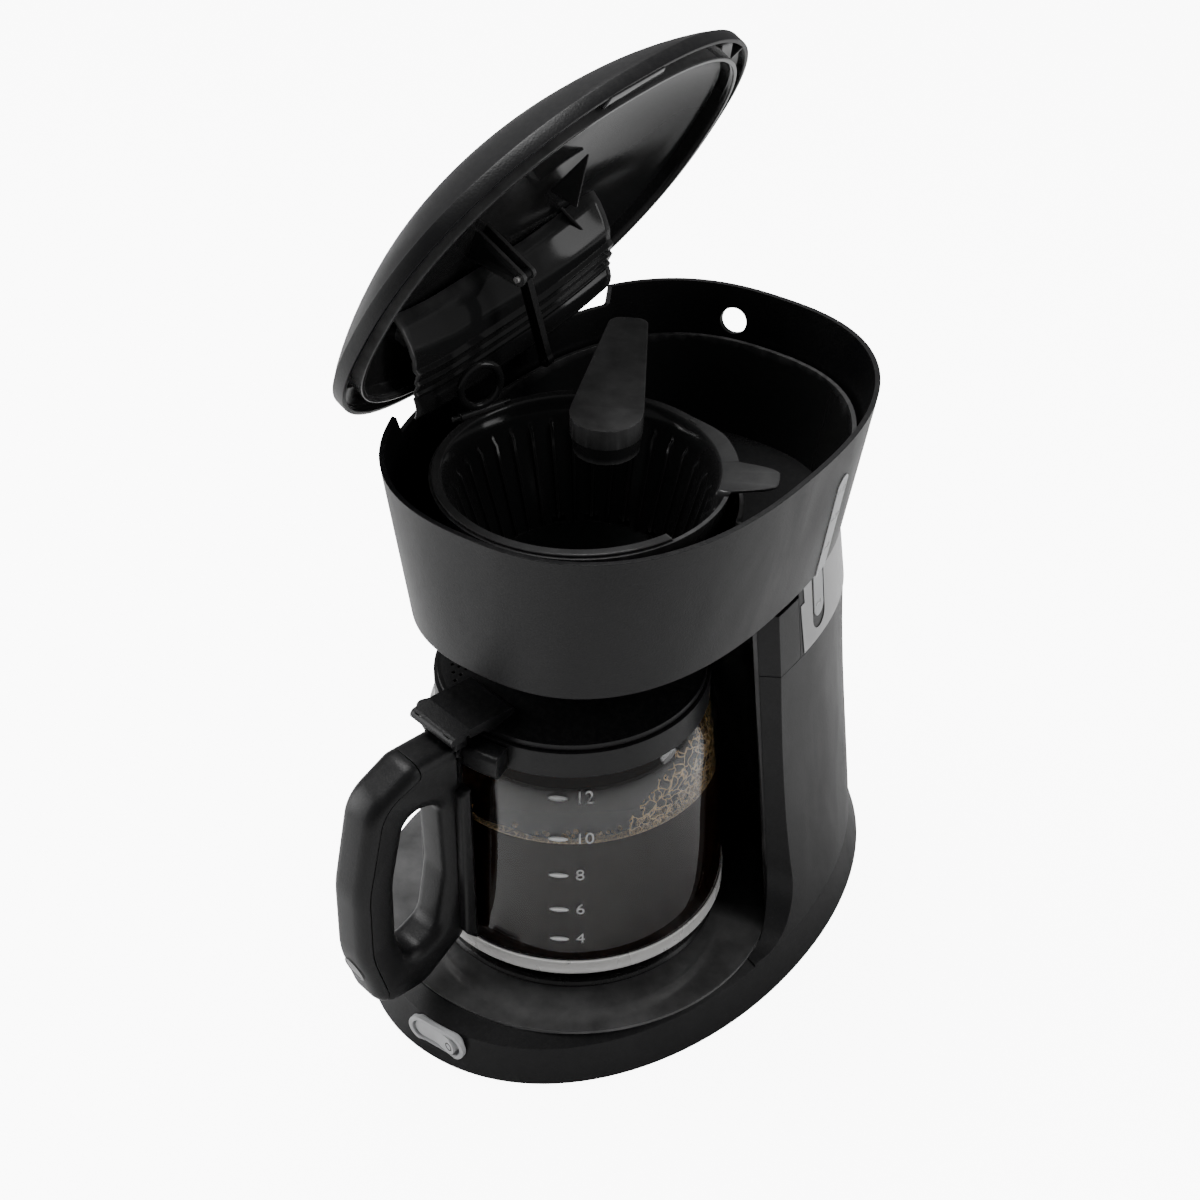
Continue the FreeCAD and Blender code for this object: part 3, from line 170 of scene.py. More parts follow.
def moulded_grain():
    """The fine leathery texture of a moulded casing."""

    def build(tree, source):
        fine = add(tree, "ShaderNodeTexNoise", {"Vector": source.outputs["Place"],
                                                "Scale": source.outputs["Fineness"],
                                                "Detail": 3.0, "Roughness": 0.55})
        cells = add(tree, "ShaderNodeTexVoronoi", {"Vector": source.outputs["Place"],
                                                   "Scale": source.outputs["Fineness"]},
                    feature="SMOOTH_F1")
        return [product(tree, fine.outputs["Fac"], cells.outputs["Distance"])]

    return effect("Moulded Grain", [("Place", VECTOR, None), ("Fineness", FLOAT, 900.0)],
                  [("Height", FLOAT)], build)


def hand_smudges():
    """Roughness that varies where a surface has been handled and wiped."""

    def build(tree, source):
        stretched = add(tree, "ShaderNodeMapping", {"Vector": source.outputs["Place"],
                                                    "Scale": (1.0, 1.7, 0.6),
                                                    "Rotation": (0.3, 0.5, 0.2)})
        cloud = add(tree, "ShaderNodeTexNoise", {"Vector": stretched.outputs["Vector"],
                                                 "Scale": source.outputs["Spread"],
                                                 "Detail": 5.0, "Distortion": 0.6})
        mask = mapped(tree, cloud.outputs["Fac"], 0.38, 0.68)
        mixed = add(tree, "ShaderNodeMix", {0: mask, 2: source.outputs["Clean"],
                                            3: source.outputs["Smudged"]})
        return [mixed.outputs[0], mask]

    return effect("Hand Smudges", [("Place", VECTOR, None), ("Spread", FLOAT, 22.0),
                                   ("Clean", FLOAT, 0.3), ("Smudged", FLOAT, 0.4)],
                  [("Roughness", FLOAT), ("Mask", FLOAT)], build)


def edge_wear_and_highlight():
    """Edges lighter than the faces around them: a little for wear from rubbing, and more for a painted
    highlight along the edges of gloss plastic and coffee.
    """

    def build(tree, source):
        shape = add(tree, "ShaderNodeNewGeometry")
        edge = mapped(tree, shape.outputs["Pointiness"], 0.53, 0.64)
        patch = add(tree, "ShaderNodeTexNoise", {"Vector": source.outputs["Place"], "Scale": 60.0,
                                                 "Detail": 4.0})
        mask = product(tree, product(tree, edge, patch.outputs["Fac"]), source.outputs["Amount"])
        return [blended(tree, mask, source.outputs["Colour"], source.outputs["Worn"]), mask]

    return effect("Edge Wear And Highlight", [("Place", VECTOR, None), ("Colour", COLOUR, WHITE),
                                  ("Worn", COLOUR, WHITE), ("Amount", FLOAT, 0.5)],
                  [("Colour", COLOUR), ("Mask", FLOAT)], build)


def settled_dust():
    """A trace of dust on the faces that look up."""

    def build(tree, source):
        shape = add(tree, "ShaderNodeNewGeometry")
        parts = add(tree, "ShaderNodeSeparateXYZ", {"Vector": shape.outputs["Normal"]})
        upward = mapped(tree, parts.outputs["Z"], 0.55, 1.0)
        specks = add(tree, "ShaderNodeTexNoise", {"Vector": source.outputs["Place"], "Scale": 380.0,
                                                  "Detail": 6.0, "Roughness": 0.7})
        thin = mapped(tree, specks.outputs["Fac"], 0.45, 0.8)
        mask = product(tree, product(tree, upward, thin), source.outputs["Amount"])
        return [blended(tree, mask, source.outputs["Colour"], (0.42, 0.41, 0.39, 1.0)), mask]

    return effect("Settled Dust", [("Place", VECTOR, None), ("Colour", COLOUR, WHITE),
                                   ("Amount", FLOAT, 0.05)],
                  [("Colour", COLOUR), ("Mask", FLOAT)], build)


def brushed_lines():
    """Fine lines that run around a turned metal band."""

    def build(tree, source):
        stretched = add(tree, "ShaderNodeMapping", {"Vector": source.outputs["Place"],
                                                    "Scale": (4.0, 4.0, 900.0)})
        lines = add(tree, "ShaderNodeTexNoise", {"Vector": stretched.outputs["Vector"],
                                                 "Scale": source.outputs["Fineness"], "Detail": 4.0})
        return [lines.outputs["Fac"], mapped(tree, lines.outputs["Fac"], 0.35, 0.65)]

    return effect("Brushed Lines", [("Place", VECTOR, None), ("Fineness", FLOAT, 3.0)],
                  [("Height", FLOAT), ("Mask", FLOAT)], build)


def bubble_net():
    """Bubbles packed side by side: a mask of their walls and a domed height."""

    def build(tree, source):
        wobble = add(tree, "ShaderNodeTexNoise", {"Vector": source.outputs["Place"], "Scale": 120.0})
        place = blended(tree, 0.012, source.outputs["Place"], wobble.outputs["Color"])
        walls = add(tree, "ShaderNodeTexVoronoi",
                    {"Vector": place, "Scale": source.outputs["Fineness"]}, feature="DISTANCE_TO_EDGE")
        mask = mapped(tree, walls.outputs["Distance"], 0.02, 0.10, 1.0, 0.0)
        return [walls.outputs["Distance"], mask]

    return effect("Bubble Net", [("Place", VECTOR, None), ("Fineness", FLOAT, 260.0)],
                  [("Height", FLOAT), ("Mask", FLOAT)], build)


def use(tree, group, **inputs):
    """A group placed in a material; underscores in the input names stand for spaces."""
    node = tree.nodes.new("ShaderNodeGroup")
    node.node_tree = group
    for key, value in inputs.items():
        socket = node.inputs[key.replace("_", " ")]
        if isinstance(value, bpy.types.NodeSocket):
            tree.links.new(value, socket)
        else:
            socket.default_value = value
    return node


# ---- finishes --------------------------------------------------------------------------------------


def opaque(colour):
    return (*colour[:3], 1.0)


def blank_material(name):
    """An empty material with a Principled shader; returns the material, its tree, shader and place."""
    material = bpy.data.materials.new(name)
    material.use_nodes = True
    tree = material.node_tree
    shader = tree.nodes["Principled BSDF"]
    place = add(tree, "ShaderNodeTexCoord").outputs["Object"]
    return material, tree, shader, place


def surface(tree, shader, height, distance, strength, round_edge):
    """Feed Normal from a height, over edges that catch the light as if slightly rounded."""
    inputs = {"Height": height, "Distance": distance, "Strength": strength}
    if round_edge:
        edge = add(tree, "ShaderNodeBevel", {"Radius": round_edge}, samples=4)
        inputs["Normal"] = edge.outputs["Normal"]
    bump = add(tree, "ShaderNodeBump", inputs)
    tree.links.new(bump.outputs["Normal"], shader.inputs["Normal"])


def plastic(name, colour, clean, smudged, fineness, relief, wear_and_highlight_amount=0.35, dust=0.03, spread=22.0,
            round_edge=0.5 * MM, wear_and_highlight_lift=0.012, specular=0.5):
    """Moulded plastic: grain, smudges, lighter edges and a trace of dust; the edges show wear from
    rubbing, and where their lift is large, a painted highlight.
    """
    material, tree, shader, place = blank_material(name)
    # Lighter edge colour: wear, and a painted highlight when the lift is large.
    light = tuple(min(1.0, value * 3.0 + wear_and_highlight_lift) for value in colour[:3])
    edge = use(tree, edge_wear_and_highlight(), Place=place, Colour=opaque(colour), Worn=opaque(light), Amount=wear_and_highlight_amount)
    dusty = use(tree, settled_dust(), Place=place, Colour=edge.outputs["Colour"], Amount=dust)
    smudge = use(tree, hand_smudges(), Place=place, Spread=spread, Clean=clean, Smudged=smudged)
    grain = use(tree, moulded_grain(), Place=place, Fineness=fineness)
    tree.links.new(dusty.outputs["Colour"], shader.inputs["Base Color"])
    tree.links.new(smudge.outputs["Roughness"], shader.inputs["Roughness"])
    surface(tree, shader, grain.outputs["Height"], relief, 1.0, round_edge)
    shader.inputs["Specular IOR Level"].default_value = specular
    return material


def metal(name, colour, clean, smudged, lines=True, metallic=1.0):
    """Metal with fine lines from brushing, or the speckle of a casting."""
    material, tree, shader, place = blank_material(name)
    if lines:
        texture = use(tree, brushed_lines(), Place=place, Fineness=3.0)
        relief = 0.03 * MM
    else:
        texture = use(tree, moulded_grain(), Place=place, Fineness=500.0)
        relief = 0.15 * MM
    smudge = use(tree, hand_smudges(), Place=place, Spread=40.0, Clean=clean, Smudged=smudged)
    edge = use(tree, edge_wear_and_highlight(), Place=place, Colour=opaque(colour), Worn=WHITE, Amount=0.3)
    tree.links.new(edge.outputs["Colour"], shader.inputs["Base Color"])
    tree.links.new(smudge.outputs["Roughness"], shader.inputs["Roughness"])
    surface(tree, shader, texture.outputs["Height"], relief, 1.0, 0.3 * MM)
    shader.inputs["Metallic"].default_value = metallic
    return material


def clear_glass():
    material, tree, shader, place = blank_material("Clear Glass")
    smudge = use(tree, hand_smudges(), Place=place, Spread=30.0, Clean=0.0, Smudged=0.035)
    tree.links.new(smudge.outputs["Roughness"], shader.inputs["Roughness"])
    shader.inputs["Base Color"].default_value = (0.98, 0.99, 0.99, 1.0)
    shader.inputs["Transmission Weight"].default_value = 1.0
    shader.inputs["IOR"].default_value = 1.5
    return material


def frosted_window(colour):
    """Milky plastic that lets some light through."""
    material, tree, shader, place = blank_material("Frosted Window")
    dusty = use(tree, settled_dust(), Place=place, Colour=opaque(colour), Amount=0.05)
    smudge = use(tree, hand_smudges(), Place=place, Spread=25.0, Clean=0.28, Smudged=0.4)
    grain = use(tree, moulded_grain(), Place=place, Fineness=1400.0)
    tree.links.new(dusty.outputs["Colour"], shader.inputs["Base Color"])
    tree.links.new(smudge.outputs["Roughness"], shader.inputs["Roughness"])
    surface(tree, shader, grain.outputs["Height"], 0.02 * MM, 1.0, 0.4 * MM)
    shader.inputs["Transmission Weight"].default_value = 0.25
    return material


def coffee_liquid(colour):
    material, tree, shader, place = blank_material("Brewed Coffee")
    smudge = use(tree, hand_smudges(), Place=place, Spread=18.0, Clean=0.03, Smudged=0.06)
    # Painted light: the coffee's edges are made lighter brown, where light shows through thin coffee.
    painted_edge_light = use(tree, edge_wear_and_highlight(), Place=place, Colour=opaque(colour),
               Worn=opaque([value * 2.5 for value in colour]), Amount=0.6)
    tree.links.new(painted_edge_light.outputs["Colour"], shader.inputs["Base Color"])
    tree.links.new(smudge.outputs["Roughness"], shader.inputs["Roughness"])
    shader.inputs["Specular IOR Level"].default_value = 0.12
    return material


def froth_foam(colour, name, film):
    """Froth: small bubbles with light walls. As a film, only the walls are seen."""
    material, tree, shader, place = blank_material(name)
    net = use(tree, bubble_net(), Place=place, Fineness=190.0 if film else 520.0)
    dark = opaque([value * 0.35 for value in colour])
    tinted = blended(tree, net.outputs["Mask"], dark, opaque(colour))
    tree.links.new(tinted, shader.inputs["Base Color"])
    smudge = use(tree, hand_smudges(), Place=place, Spread=90.0, Clean=0.12, Smudged=0.3)
    tree.links.new(smudge.outputs["Roughness"], shader.inputs["Roughness"])
    surface(tree, shader, net.outputs["Height"], 0.5 * MM, 0.8, 0.0)
    if film:
        tree.links.new(net.outputs["Mask"], shader.inputs["Alpha"])
    return material


def make_finishes():
    """The finish of each material slot, and those of the pieces that have no slot."""
    tone = colours()
    return {
        "satin_black": plastic("Satin Black", tone.casing, 0.36, 0.44, 1300.0, 0.10 * MM,
                               specular=0.3),
        # Gloss black: its strong edge lift paints highlights along the edges of ribs, flanges and rims.
        "gloss_black": plastic("Gloss Black", tone.gloss, 0.09, 0.17, 260.0, 0.010 * MM, wear_and_highlight_amount=0.9,
                               dust=0.015, wear_and_highlight_lift=0.2, specular=0.35),
        # Rear skirt panel: a smoother finish whose light grey is painted sheen over the black casing.
        "painted_sheen_panel": plastic("Painted Sheen Panel", (0.42, 0.42, 0.425), 0.22, 0.28, 900.0, 0.01 * MM,
                                wear_and_highlight_amount=0.2),
        "grey_plastic": plastic("Grey Plastic", tone.switch, 0.34, 0.42, 1500.0, 0.05 * MM),
        "window_plastic": frosted_window(tone.window),
        "inner_plastic": plastic("Inner Plastic", (0.02, 0.02, 0.021), 0.4, 0.5, 900.0, 0.08 * MM),
        "glass": clear_glass(),
        # Steel's metallic is kept low, so its near-white colour shows as diffuse white: a painted
        # reflection that makes the band bright.
        "steel": metal("Brushed Steel", (0.92, 0.91, 0.89), 0.26, 0.34, metallic=0.35),
        "cast_metal": metal("Cast Metal", (0.45, 0.45, 0.46), 0.4, 0.5, lines=False),
        "hot_plate_paint": plastic("Hot Plate Coat", (0.006, 0.006, 0.006), 0.24, 0.34, 700.0,
                                   0.05 * MM),
        "silicone": plastic("Silicone", (0.03, 0.03, 0.031), 0.5, 0.6, 600.0, 0.03 * MM),
        "wire": plastic("Wire Sheath", (0.5, 0.5, 0.48), 0.4, 0.5, 900.0, 0.02 * MM),
        "print": plastic("White Print", tone.marks, 0.4, 0.5, 1500.0, 0.02 * MM, wear_and_highlight_amount=0.0, dust=0.0),
        "coffee": coffee_liquid(tone.coffee),
        "froth": froth_foam(tone.froth, "Coffee Froth", False),
        "film": froth_foam(tone.froth, "Bubble Film", True),
    }


FINISH = {}


# ---- mesh helpers ------------------------------------------------------------------------------------


def oval(height, half_width, half_depth, middle, power, steps=160):
    """Points of one level section of a casing, a superellipse, in metres."""
    points = []
    for step in range(steps):
        turn = 2 * math.pi * step / steps
        across, along = math.cos(turn), math.sin(turn)
        x = half_width * math.copysign(abs(across) ** (2 / power), across)
        y = middle + half_depth * math.copysign(abs(along) ** (2 / power), along)
        points.append(Vector((x, y, height)) * MM)
    return points


def rings_mesh(name, rings, cap_start=False, cap_end=False, loop=False):
    """A skin over closed rings of equal length, in order."""
    form = bmesh.new()
    rows = [[form.verts.new(point) for point in ring] for ring in rings]
    pairs = list(zip(rows, rows[1:]))
    if loop:
        pairs.append((rows[-1], rows[0]))
    for low, high in pairs:
        for index in range(len(low)):
            after = (index + 1) % len(low)
            form.faces.new((low[index], low[after], high[after], high[index]))
    if cap_start:
        form.faces.new(list(reversed(rows[0])))
    if cap_end:
        form.faces.new(rows[-1])
    return mesh_object(name, form)


def mesh_object(name, form, smooth=True, angle=35.0):
    """A finished bmesh as an object, with its faces turned outward and shaded smooth."""
    bmesh.ops.recalc_face_normals(form, faces=form.faces)
    for face in form.faces:
        face.smooth = smooth
    for edge in form.edges:
        if len(edge.link_faces) == 2 and edge.calc_face_angle(0.0) > math.radians(angle):
            edge.smooth = False
    mesh = bpy.data.meshes.new(name)
    form.to_mesh(mesh)
    form.free()
    thing = bpy.data.objects.new(name, mesh)
    bpy.context.scene.collection.objects.link(thing)
    return thing


def turned(name, profile, axis=(0.0, 0.0), steps=144, closed=True):
    """A profile of (radius, height) in millimetres turned about an upright axis at (x, y)."""
    rings = []
    for radius, height in profile:
        rings.append([Vector((axis[0] + radius * math.cos(2 * math.pi * step / steps),
                              axis[1] + radius * math.sin(2 * math.pi * step / steps),
                              height)) * MM for step in range(steps)])
    return rings_mesh(name, rings, loop=closed)


def smooth_line(points, per_span=6):
    """A smooth line through points of (radius, height), by Catmull-Rom spans."""
    line = []
    last = len(points) - 1
    for index in range(last):
        before, start = points[max(index - 1, 0)], points[index]
        end, after = points[index + 1], points[min(index + 2, last)]
        for step in range(per_span):
            t = step / per_span
            line.append(tuple(0.5 * (2 * b + (c - a) * t + (2 * a - 5 * b + 4 * c - d) * t * t
                                     + (3 * b - a - 3 * c + d) * t ** 3)
                              for a, b, c, d in zip(before, start, end, after)))
    line.append(points[last])
    return line


def rounded_outline(corners, arc_steps=8):
    """An outline in millimetres whose corners (x, y, radius) are rounded by arcs."""
    outline = []
    count = len(corners)
    for index, (x, y, radius) in enumerate(corners):
        here = Vector((x, y))
        back = Vector(corners[index - 1][:2]) - here
        onward = Vector(corners[(index + 1) % count][:2]) - here
        if radius <= 0:
            outline.append(here)
            continue
        half = back.angle(onward) / 2
        reach = min(radius / math.tan(half), 0.49 * min(back.length, onward.length))
        fit = reach * math.tan(half)
        centre = here + (back.normalized() + onward.normalized()).normalized() * (fit / math.sin(half))
        first = here + back.normalized() * reach - centre
        sweep = (here + onward.normalized() * reach - centre).angle_signed(first)
        for step in range(arc_steps + 1):
            turn = sweep * step / arc_steps
            outline.append(centre + Matrix.Rotation(turn, 2) @ first)
    return outline


def mesh_of_curve(name, curve):
    """The mesh that a curve makes with its extrusion and bevel."""
    source = bpy.data.objects.new(name, curve)
    bpy.context.scene.collection.objects.link(source)
    bpy.context.view_layer.update()
    graph = bpy.context.evaluated_depsgraph_get()
    mesh = bpy.data.meshes.new_from_object(source.evaluated_get(graph))
    bpy.data.objects.remove(source)
    return mesh


def plate(name, outlines, thickness, edge, place, resolution=3):
    """A plate with rounded edges: outlines in millimetres, extruded about its own mid-plane."""
    curve = bpy.data.curves.new(name, "CURVE")
    curve.dimensions = "2D"
    curve.fill_mode = "BOTH"
    curve.extrude = (thickness / 2 - edge) * MM
    curve.bevel_depth = edge * MM
    curve.bevel_resolution = resolution
    curve.offset = -edge * MM
    for outline in outlines:
        spline = curve.splines.new("POLY")
        spline.points.add(len(outline) - 1)
        for point, spot in zip(spline.points, outline):
            point.co = (spot[0] * MM, spot[1] * MM, 0.0, 1.0)
        spline.use_cyclic_u = True
    mesh = mesh_of_curve(name + "_outline", curve)
    mesh.transform(place)
    form = bmesh.new()
    form.from_mesh(mesh)
    bpy.data.meshes.remove(mesh)
    bmesh.ops.remove_doubles(form, verts=form.verts, dist=0.00001)
    return mesh_object(name, form, angle=50.0)


def carve(piece, cutter, operation):
    """Cut a piece with another, which is then removed."""
    modifier = piece.modifiers.new("Cut", "BOOLEAN")
    modifier.operation = operation
    modifier.solver = "EXACT"
    modifier.object = cutter
    bpy.context.view_layer.update()
    graph = bpy.context.evaluated_depsgraph_get()
    mesh = bpy.data.meshes.new_from_object(piece.evaluated_get(graph))
    mesh.set_sharp_from_angle(angle=math.radians(38))
    piece.modifiers.clear()
    piece.data = mesh
    bpy.data.objects.remove(cutter)
    return piece


def cutter_box(low, high, turn=0.0):
    """A box between two corners in millimetres, turned about the vertical, to cut with."""
    form = bmesh.new()
    bmesh.ops.create_cube(form, size=1.0)
    for vert in form.verts:
        spot = Vector([low[axis] + (high[axis] - low[axis]) * (vert.co[axis] + 0.5)
                       for axis in range(3)])
        vert.co = Matrix.Rotation(turn, 3, "Z") @ spot * MM
    return mesh_object("cutter", form, smooth=False)


def finish_piece(piece, body, slot, finish=None, stands_for=()):
    """Give a piece its finish, which is its slot's unless another is named, put it on its body, and
    hide the CAD nodes it stands for.
    """
    piece.data.materials.clear()
    piece.data.materials.append(FINISH[finish or slot])
    if stands_for:
        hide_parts(*stands_for)
    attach(piece, body)
    return piece


# ---- carafe ------------------------------------------------------------------------------------------

CARAFE_AXIS = (0.0, -8.0)
GLASS_OUTER = [(0.01, 31.8), (60.0, 31.8), (68.0, 33.6), (73.4, 40.0), (74.1, 50.0), (74.0, 62.0),
               (73.2, 84.0), (72.4, 104.0), (71.6, 124.0), (70.4, 140.0), (68.2, 150.0),
               (64.6, 158.0), (61.6, 164.0), (60.5, 170.0)]
GLASS_WALL = 2.2
GLASS_FOOT, GLASS_LIP = 36.0, 170.6
LEVEL_MARKS = (("4", 63.2), ("6", 82.0), ("8", 103.4), ("10", 125.5), ("12", 148.0))
HANDLE_TURN = math.radians(-12.3)
OUTWARD = Vector((math.sin(HANDLE_TURN), -math.cos(HANDLE_TURN), 0.0))
SIDEWAYS = Vector((OUTWARD.y, -OUTWARD.x, 0.0))
MARK_TURN = math.radians(-54.4)
HANDLE_OUT = [(73.6, 148.0, 4), (73.6, 172.0, 2), (104.0, 172.0, 12), (128.0, 160.0, 22),
              (139.0, 112.0, 60), (140.0, 72.0, 60), (131.0, 37.0, 14), (104.0, 36.0, 20),
              (78.0, 54.0, 8), (76.4, 80.0, 0)]
HANDLE_GAP = [(89.0, 142.0, 9), (108.0, 148.0, 12), (117.0, 112.0, 50), (118.0, 76.0, 30),
              (112.0, 58.0, 9), (94.0, 66.0, 10), (88.0, 96.0, 30)]

GRIP_SEAM = [(100.0, 190.0, 0), (100.0, 166.0, 3), (121.5, 158.0, 18), (133.0, 112.0, 55),
             (134.0, 74.0, 50), (127.0, 47.0, 8), (127.0, 20.0, 0), (170.0, 20.0, 0),
             (170.0, 190.0, 0)]
HINGE_EAR = [(73.8, 170.6, 1), (72.4, 179.2, 2), (75.5, 180.4, 2), (79.0, 179.2, 2), (81.0, 170.6, 1)]
BRIDGE_HALF_TURN = math.radians(22)
BRIDGE_CORE = (71.35, 164.75)
BRIDGE_END_REACH, BRIDGE_END_TAPER = 1.012, 0.8
BRIDGE_PROFILE = [(65.8, 158.6, 1.5), (76.9, 158.6, 3), (76.9, 170.9, 3), (65.8, 170.9, 1.5)]


def glass_radius(height, inset=0.0):
    """Outer radius of the glass at a height, less an inset, in millimetres."""
    for (low_r, low_z), (high_r, high_z) in zip(GLASS_OUTER[1:], GLASS_OUTER[2:]):
        if low_z <= height <= high_z:
            share = (height - low_z) / (high_z - low_z)
            return low_r + (high_r - low_r) * share - inset
    return GLASS_OUTER[-1][0] - inset


def around_carafe(turn, height, radius):
    """A point on the carafe: turn from +X, height and radius in millimetres."""
    return Vector((CARAFE_AXIS[0] + radius * math.cos(turn),
                   CARAFE_AXIS[1] + radius * math.sin(turn), height)) * MM


def build_glass():
    outer = smooth_line(GLASS_OUTER[1:])
    inner = [(radius - GLASS_WALL, height + (GLASS_WALL if height < GLASS_FOOT else 0))
             for radius, height in outer]
    lip = [(outer[-1][0] - 0.7, GLASS_LIP), (outer[-1][0] - 1.6, GLASS_LIP)]
    profile = GLASS_OUTER[:1] + outer + lip + inner[::-1] + [(0.01, 31.8 + GLASS_WALL)]
    piece = turned("glass_vessel", profile, CARAFE_AXIS, steps=180)
    return finish_piece(piece, "carafe", "glass", stands_for=["carafe_glass"])


def build_coffee():
    level = sizes().coffee_level / MM
    gap = -0.1
    side = [(radius - GLASS_WALL - gap, height + (GLASS_WALL + gap if height < GLASS_FOOT else 0))
            for radius, height in smooth_line(GLASS_OUTER[1:]) if height < level - 1]
    edge = glass_radius(level, GLASS_WALL + gap)
    profile = [(0.01, side[0][1])] + side + [(edge, level), (edge - 0.9, level - 0.5),
                                             (edge - 2.4, level - 0.8), (0.01, level - 0.8)]
    piece = turned("brewed_coffee", profile, CARAFE_AXIS, steps=144)
    return finish_piece(piece, "carafe", "glass", finish="coffee")


def build_froth():
    """A ragged ring of froth where the coffee meets the glass, with single bubbles beside it."""
    level = sizes().coffee_level / MM
    reach = sizes().froth_width / MM
    draw = random.Random(7)
    waves = [(count, draw.uniform(0, 6.28), draw.uniform(0.3, 1.0)) for count in (2, 3, 5, 8, 13, 21)]
    edge = glass_radius(level, GLASS_WALL + 0.1)
    steps = 360
    rings = []
    for across, rise in ((0.0, -0.6), (0.0, 0.7), (0.25, 1.0), (0.6, 0.8), (0.9, 0.1), (1.0, -0.75)):
        ring = []
        for step in range(steps):
            turn = 2 * math.pi * step / steps
            swell = sum(size * math.sin(count * turn + shift) for count, shift, size in waves) / 4
            width = reach * max(0.25, 0.75 + 0.6 * swell)
            jitter = draw.uniform(-0.25, 0.25) if 0 < across < 1 else 0.0
            ring.append(around_carafe(turn, level + rise + jitter, edge - across * width))
        rings.append(ring)
    froth = rings_mesh("froth_ring", rings, loop=True)
    finish_piece(froth, "carafe", "glass", finish="froth")
    build_bubbles(level, edge, reach, draw)


def build_bubbles(level, edge, reach, draw):
    form = bmesh.new()
    for _ in range(240):
        turn = draw.gauss(math.radians(40), 0.9)
        back = edge - reach * draw.uniform(0.3, 1.5)
        radius = draw.uniform(0.5, 1.5)
        spot = around_carafe(turn, level - 0.6, back - radius)
        bmesh.ops.create_icosphere(form, subdivisions=2, radius=radius * MM,
                                   matrix=Matrix.Translation(spot))
    bubbles = mesh_object("froth_bubbles", form)
    finish_piece(bubbles, "carafe", "glass", finish="froth")


def build_film():
    """The net of bubbles that clings to the inside of the glass above the coffee."""
    low = sizes().coffee_level / MM + 1.0
    draw = random.Random(11)
    first, last, columns, rows = math.radians(-32), math.radians(62), 60, 14
    tops = [low + 8 + 24 * math.sin(math.pi * (column / columns) ** 0.8) + draw.uniform(-2, 2)
            for column in range(columns + 1)]
    form = bmesh.new()
    grid = []
    for column, top in enumerate(tops):
        turn = first + (last - first) * column / columns
        line = []
        for row in range(rows + 1):
            height = low + (top - low) * row / rows
            line.append(form.verts.new(around_carafe(turn, height,
                                                     glass_radius(height, GLASS_WALL + 0.25))))
        grid.append(line)
    for left, right in zip(grid, grid[1:]):
        for row in range(rows):
            form.faces.new((left[row], right[row], right[row + 1], left[row + 1]))
    film = mesh_object("bubble_film", form)
    solid = film.modifiers.new("Film", "SOLIDIFY")
    solid.thickness = 0.12 * MM
    solid.offset = 0.0
    finish_piece(film, "carafe", "glass", finish="film")


def text_mesh(words, height):
    """Words as a flat mesh, centred on their left edge, of that height in metres."""
    curve = bpy.data.curves.new("words", "FONT")
    curve.body = words
    curve.size = height * 1.38
    curve.extrude = 0.0
    curve.align_y = "CENTER"
    return mesh_of_curve("words", curve)


def wrap_on_glass(form, turn, height):
    """Bend flat print, drawn around its own origin, onto the glass at a turn and a height."""
    for vert in form.verts:
        level = height + vert.co.y / MM
        radius = glass_radius(level) + 0.12
        angle = turn + vert.co.x / MM / radius
        vert.co = around_carafe(angle, level, radius)


def build_level_marks():
    """The printed ovals and numerals on the glass."""
    joined = bmesh.new()
    for numeral, height in LEVEL_MARKS:
        flat = bmesh.new()
        ring = []
        for step in range(40):
            turn = 2 * math.pi * step / 40
            ring.append(flat.verts.new((-6.2 * MM + 4.6 * MM * math.cos(turn),
                                        1.35 * MM * math.sin(turn), 0)))
        flat.faces.new(ring)
        words = text_mesh(numeral, sizes().mark_size)
        words.transform(Matrix.Translation((1.6 * MM, 0, 0)))
        flat.from_mesh(words)
        bpy.data.meshes.remove(words)
        bmesh.ops.triangulate(flat, faces=flat.faces)
        bmesh.ops.subdivide_edges(flat, edges=[e for e in flat.edges if e.calc_length() > 1.5 * MM],
                                  cuts=2, use_grid_fill=True)
        wrap_on_glass(flat, MARK_TURN, height)
        part = bpy.data.meshes.new("mark")
        flat.to_mesh(part)
        flat.free()
        joined.from_mesh(part)
        bpy.data.meshes.remove(part)
    marks = mesh_object("glass_level_marks", joined)
    solid = marks.modifiers.new("Ink", "SOLIDIFY")
    solid.thickness = 0.08 * MM
    finish_piece(marks, "carafe", "glass", finish="print")


def handle_frame(offset=0.0):
    """Places drawings of (radius, height) in the upright plane of the handle."""
    origin = Vector((CARAFE_AXIS[0], CARAFE_AXIS[1], 0)) * MM + SIDEWAYS * offset * MM
    turn = Matrix((OUTWARD, Vector((0, 0, 1)), OUTWARD.cross(Vector((0, 0, 1))))).transposed()
    return Matrix.Translation(origin) @ turn.to_4x4()


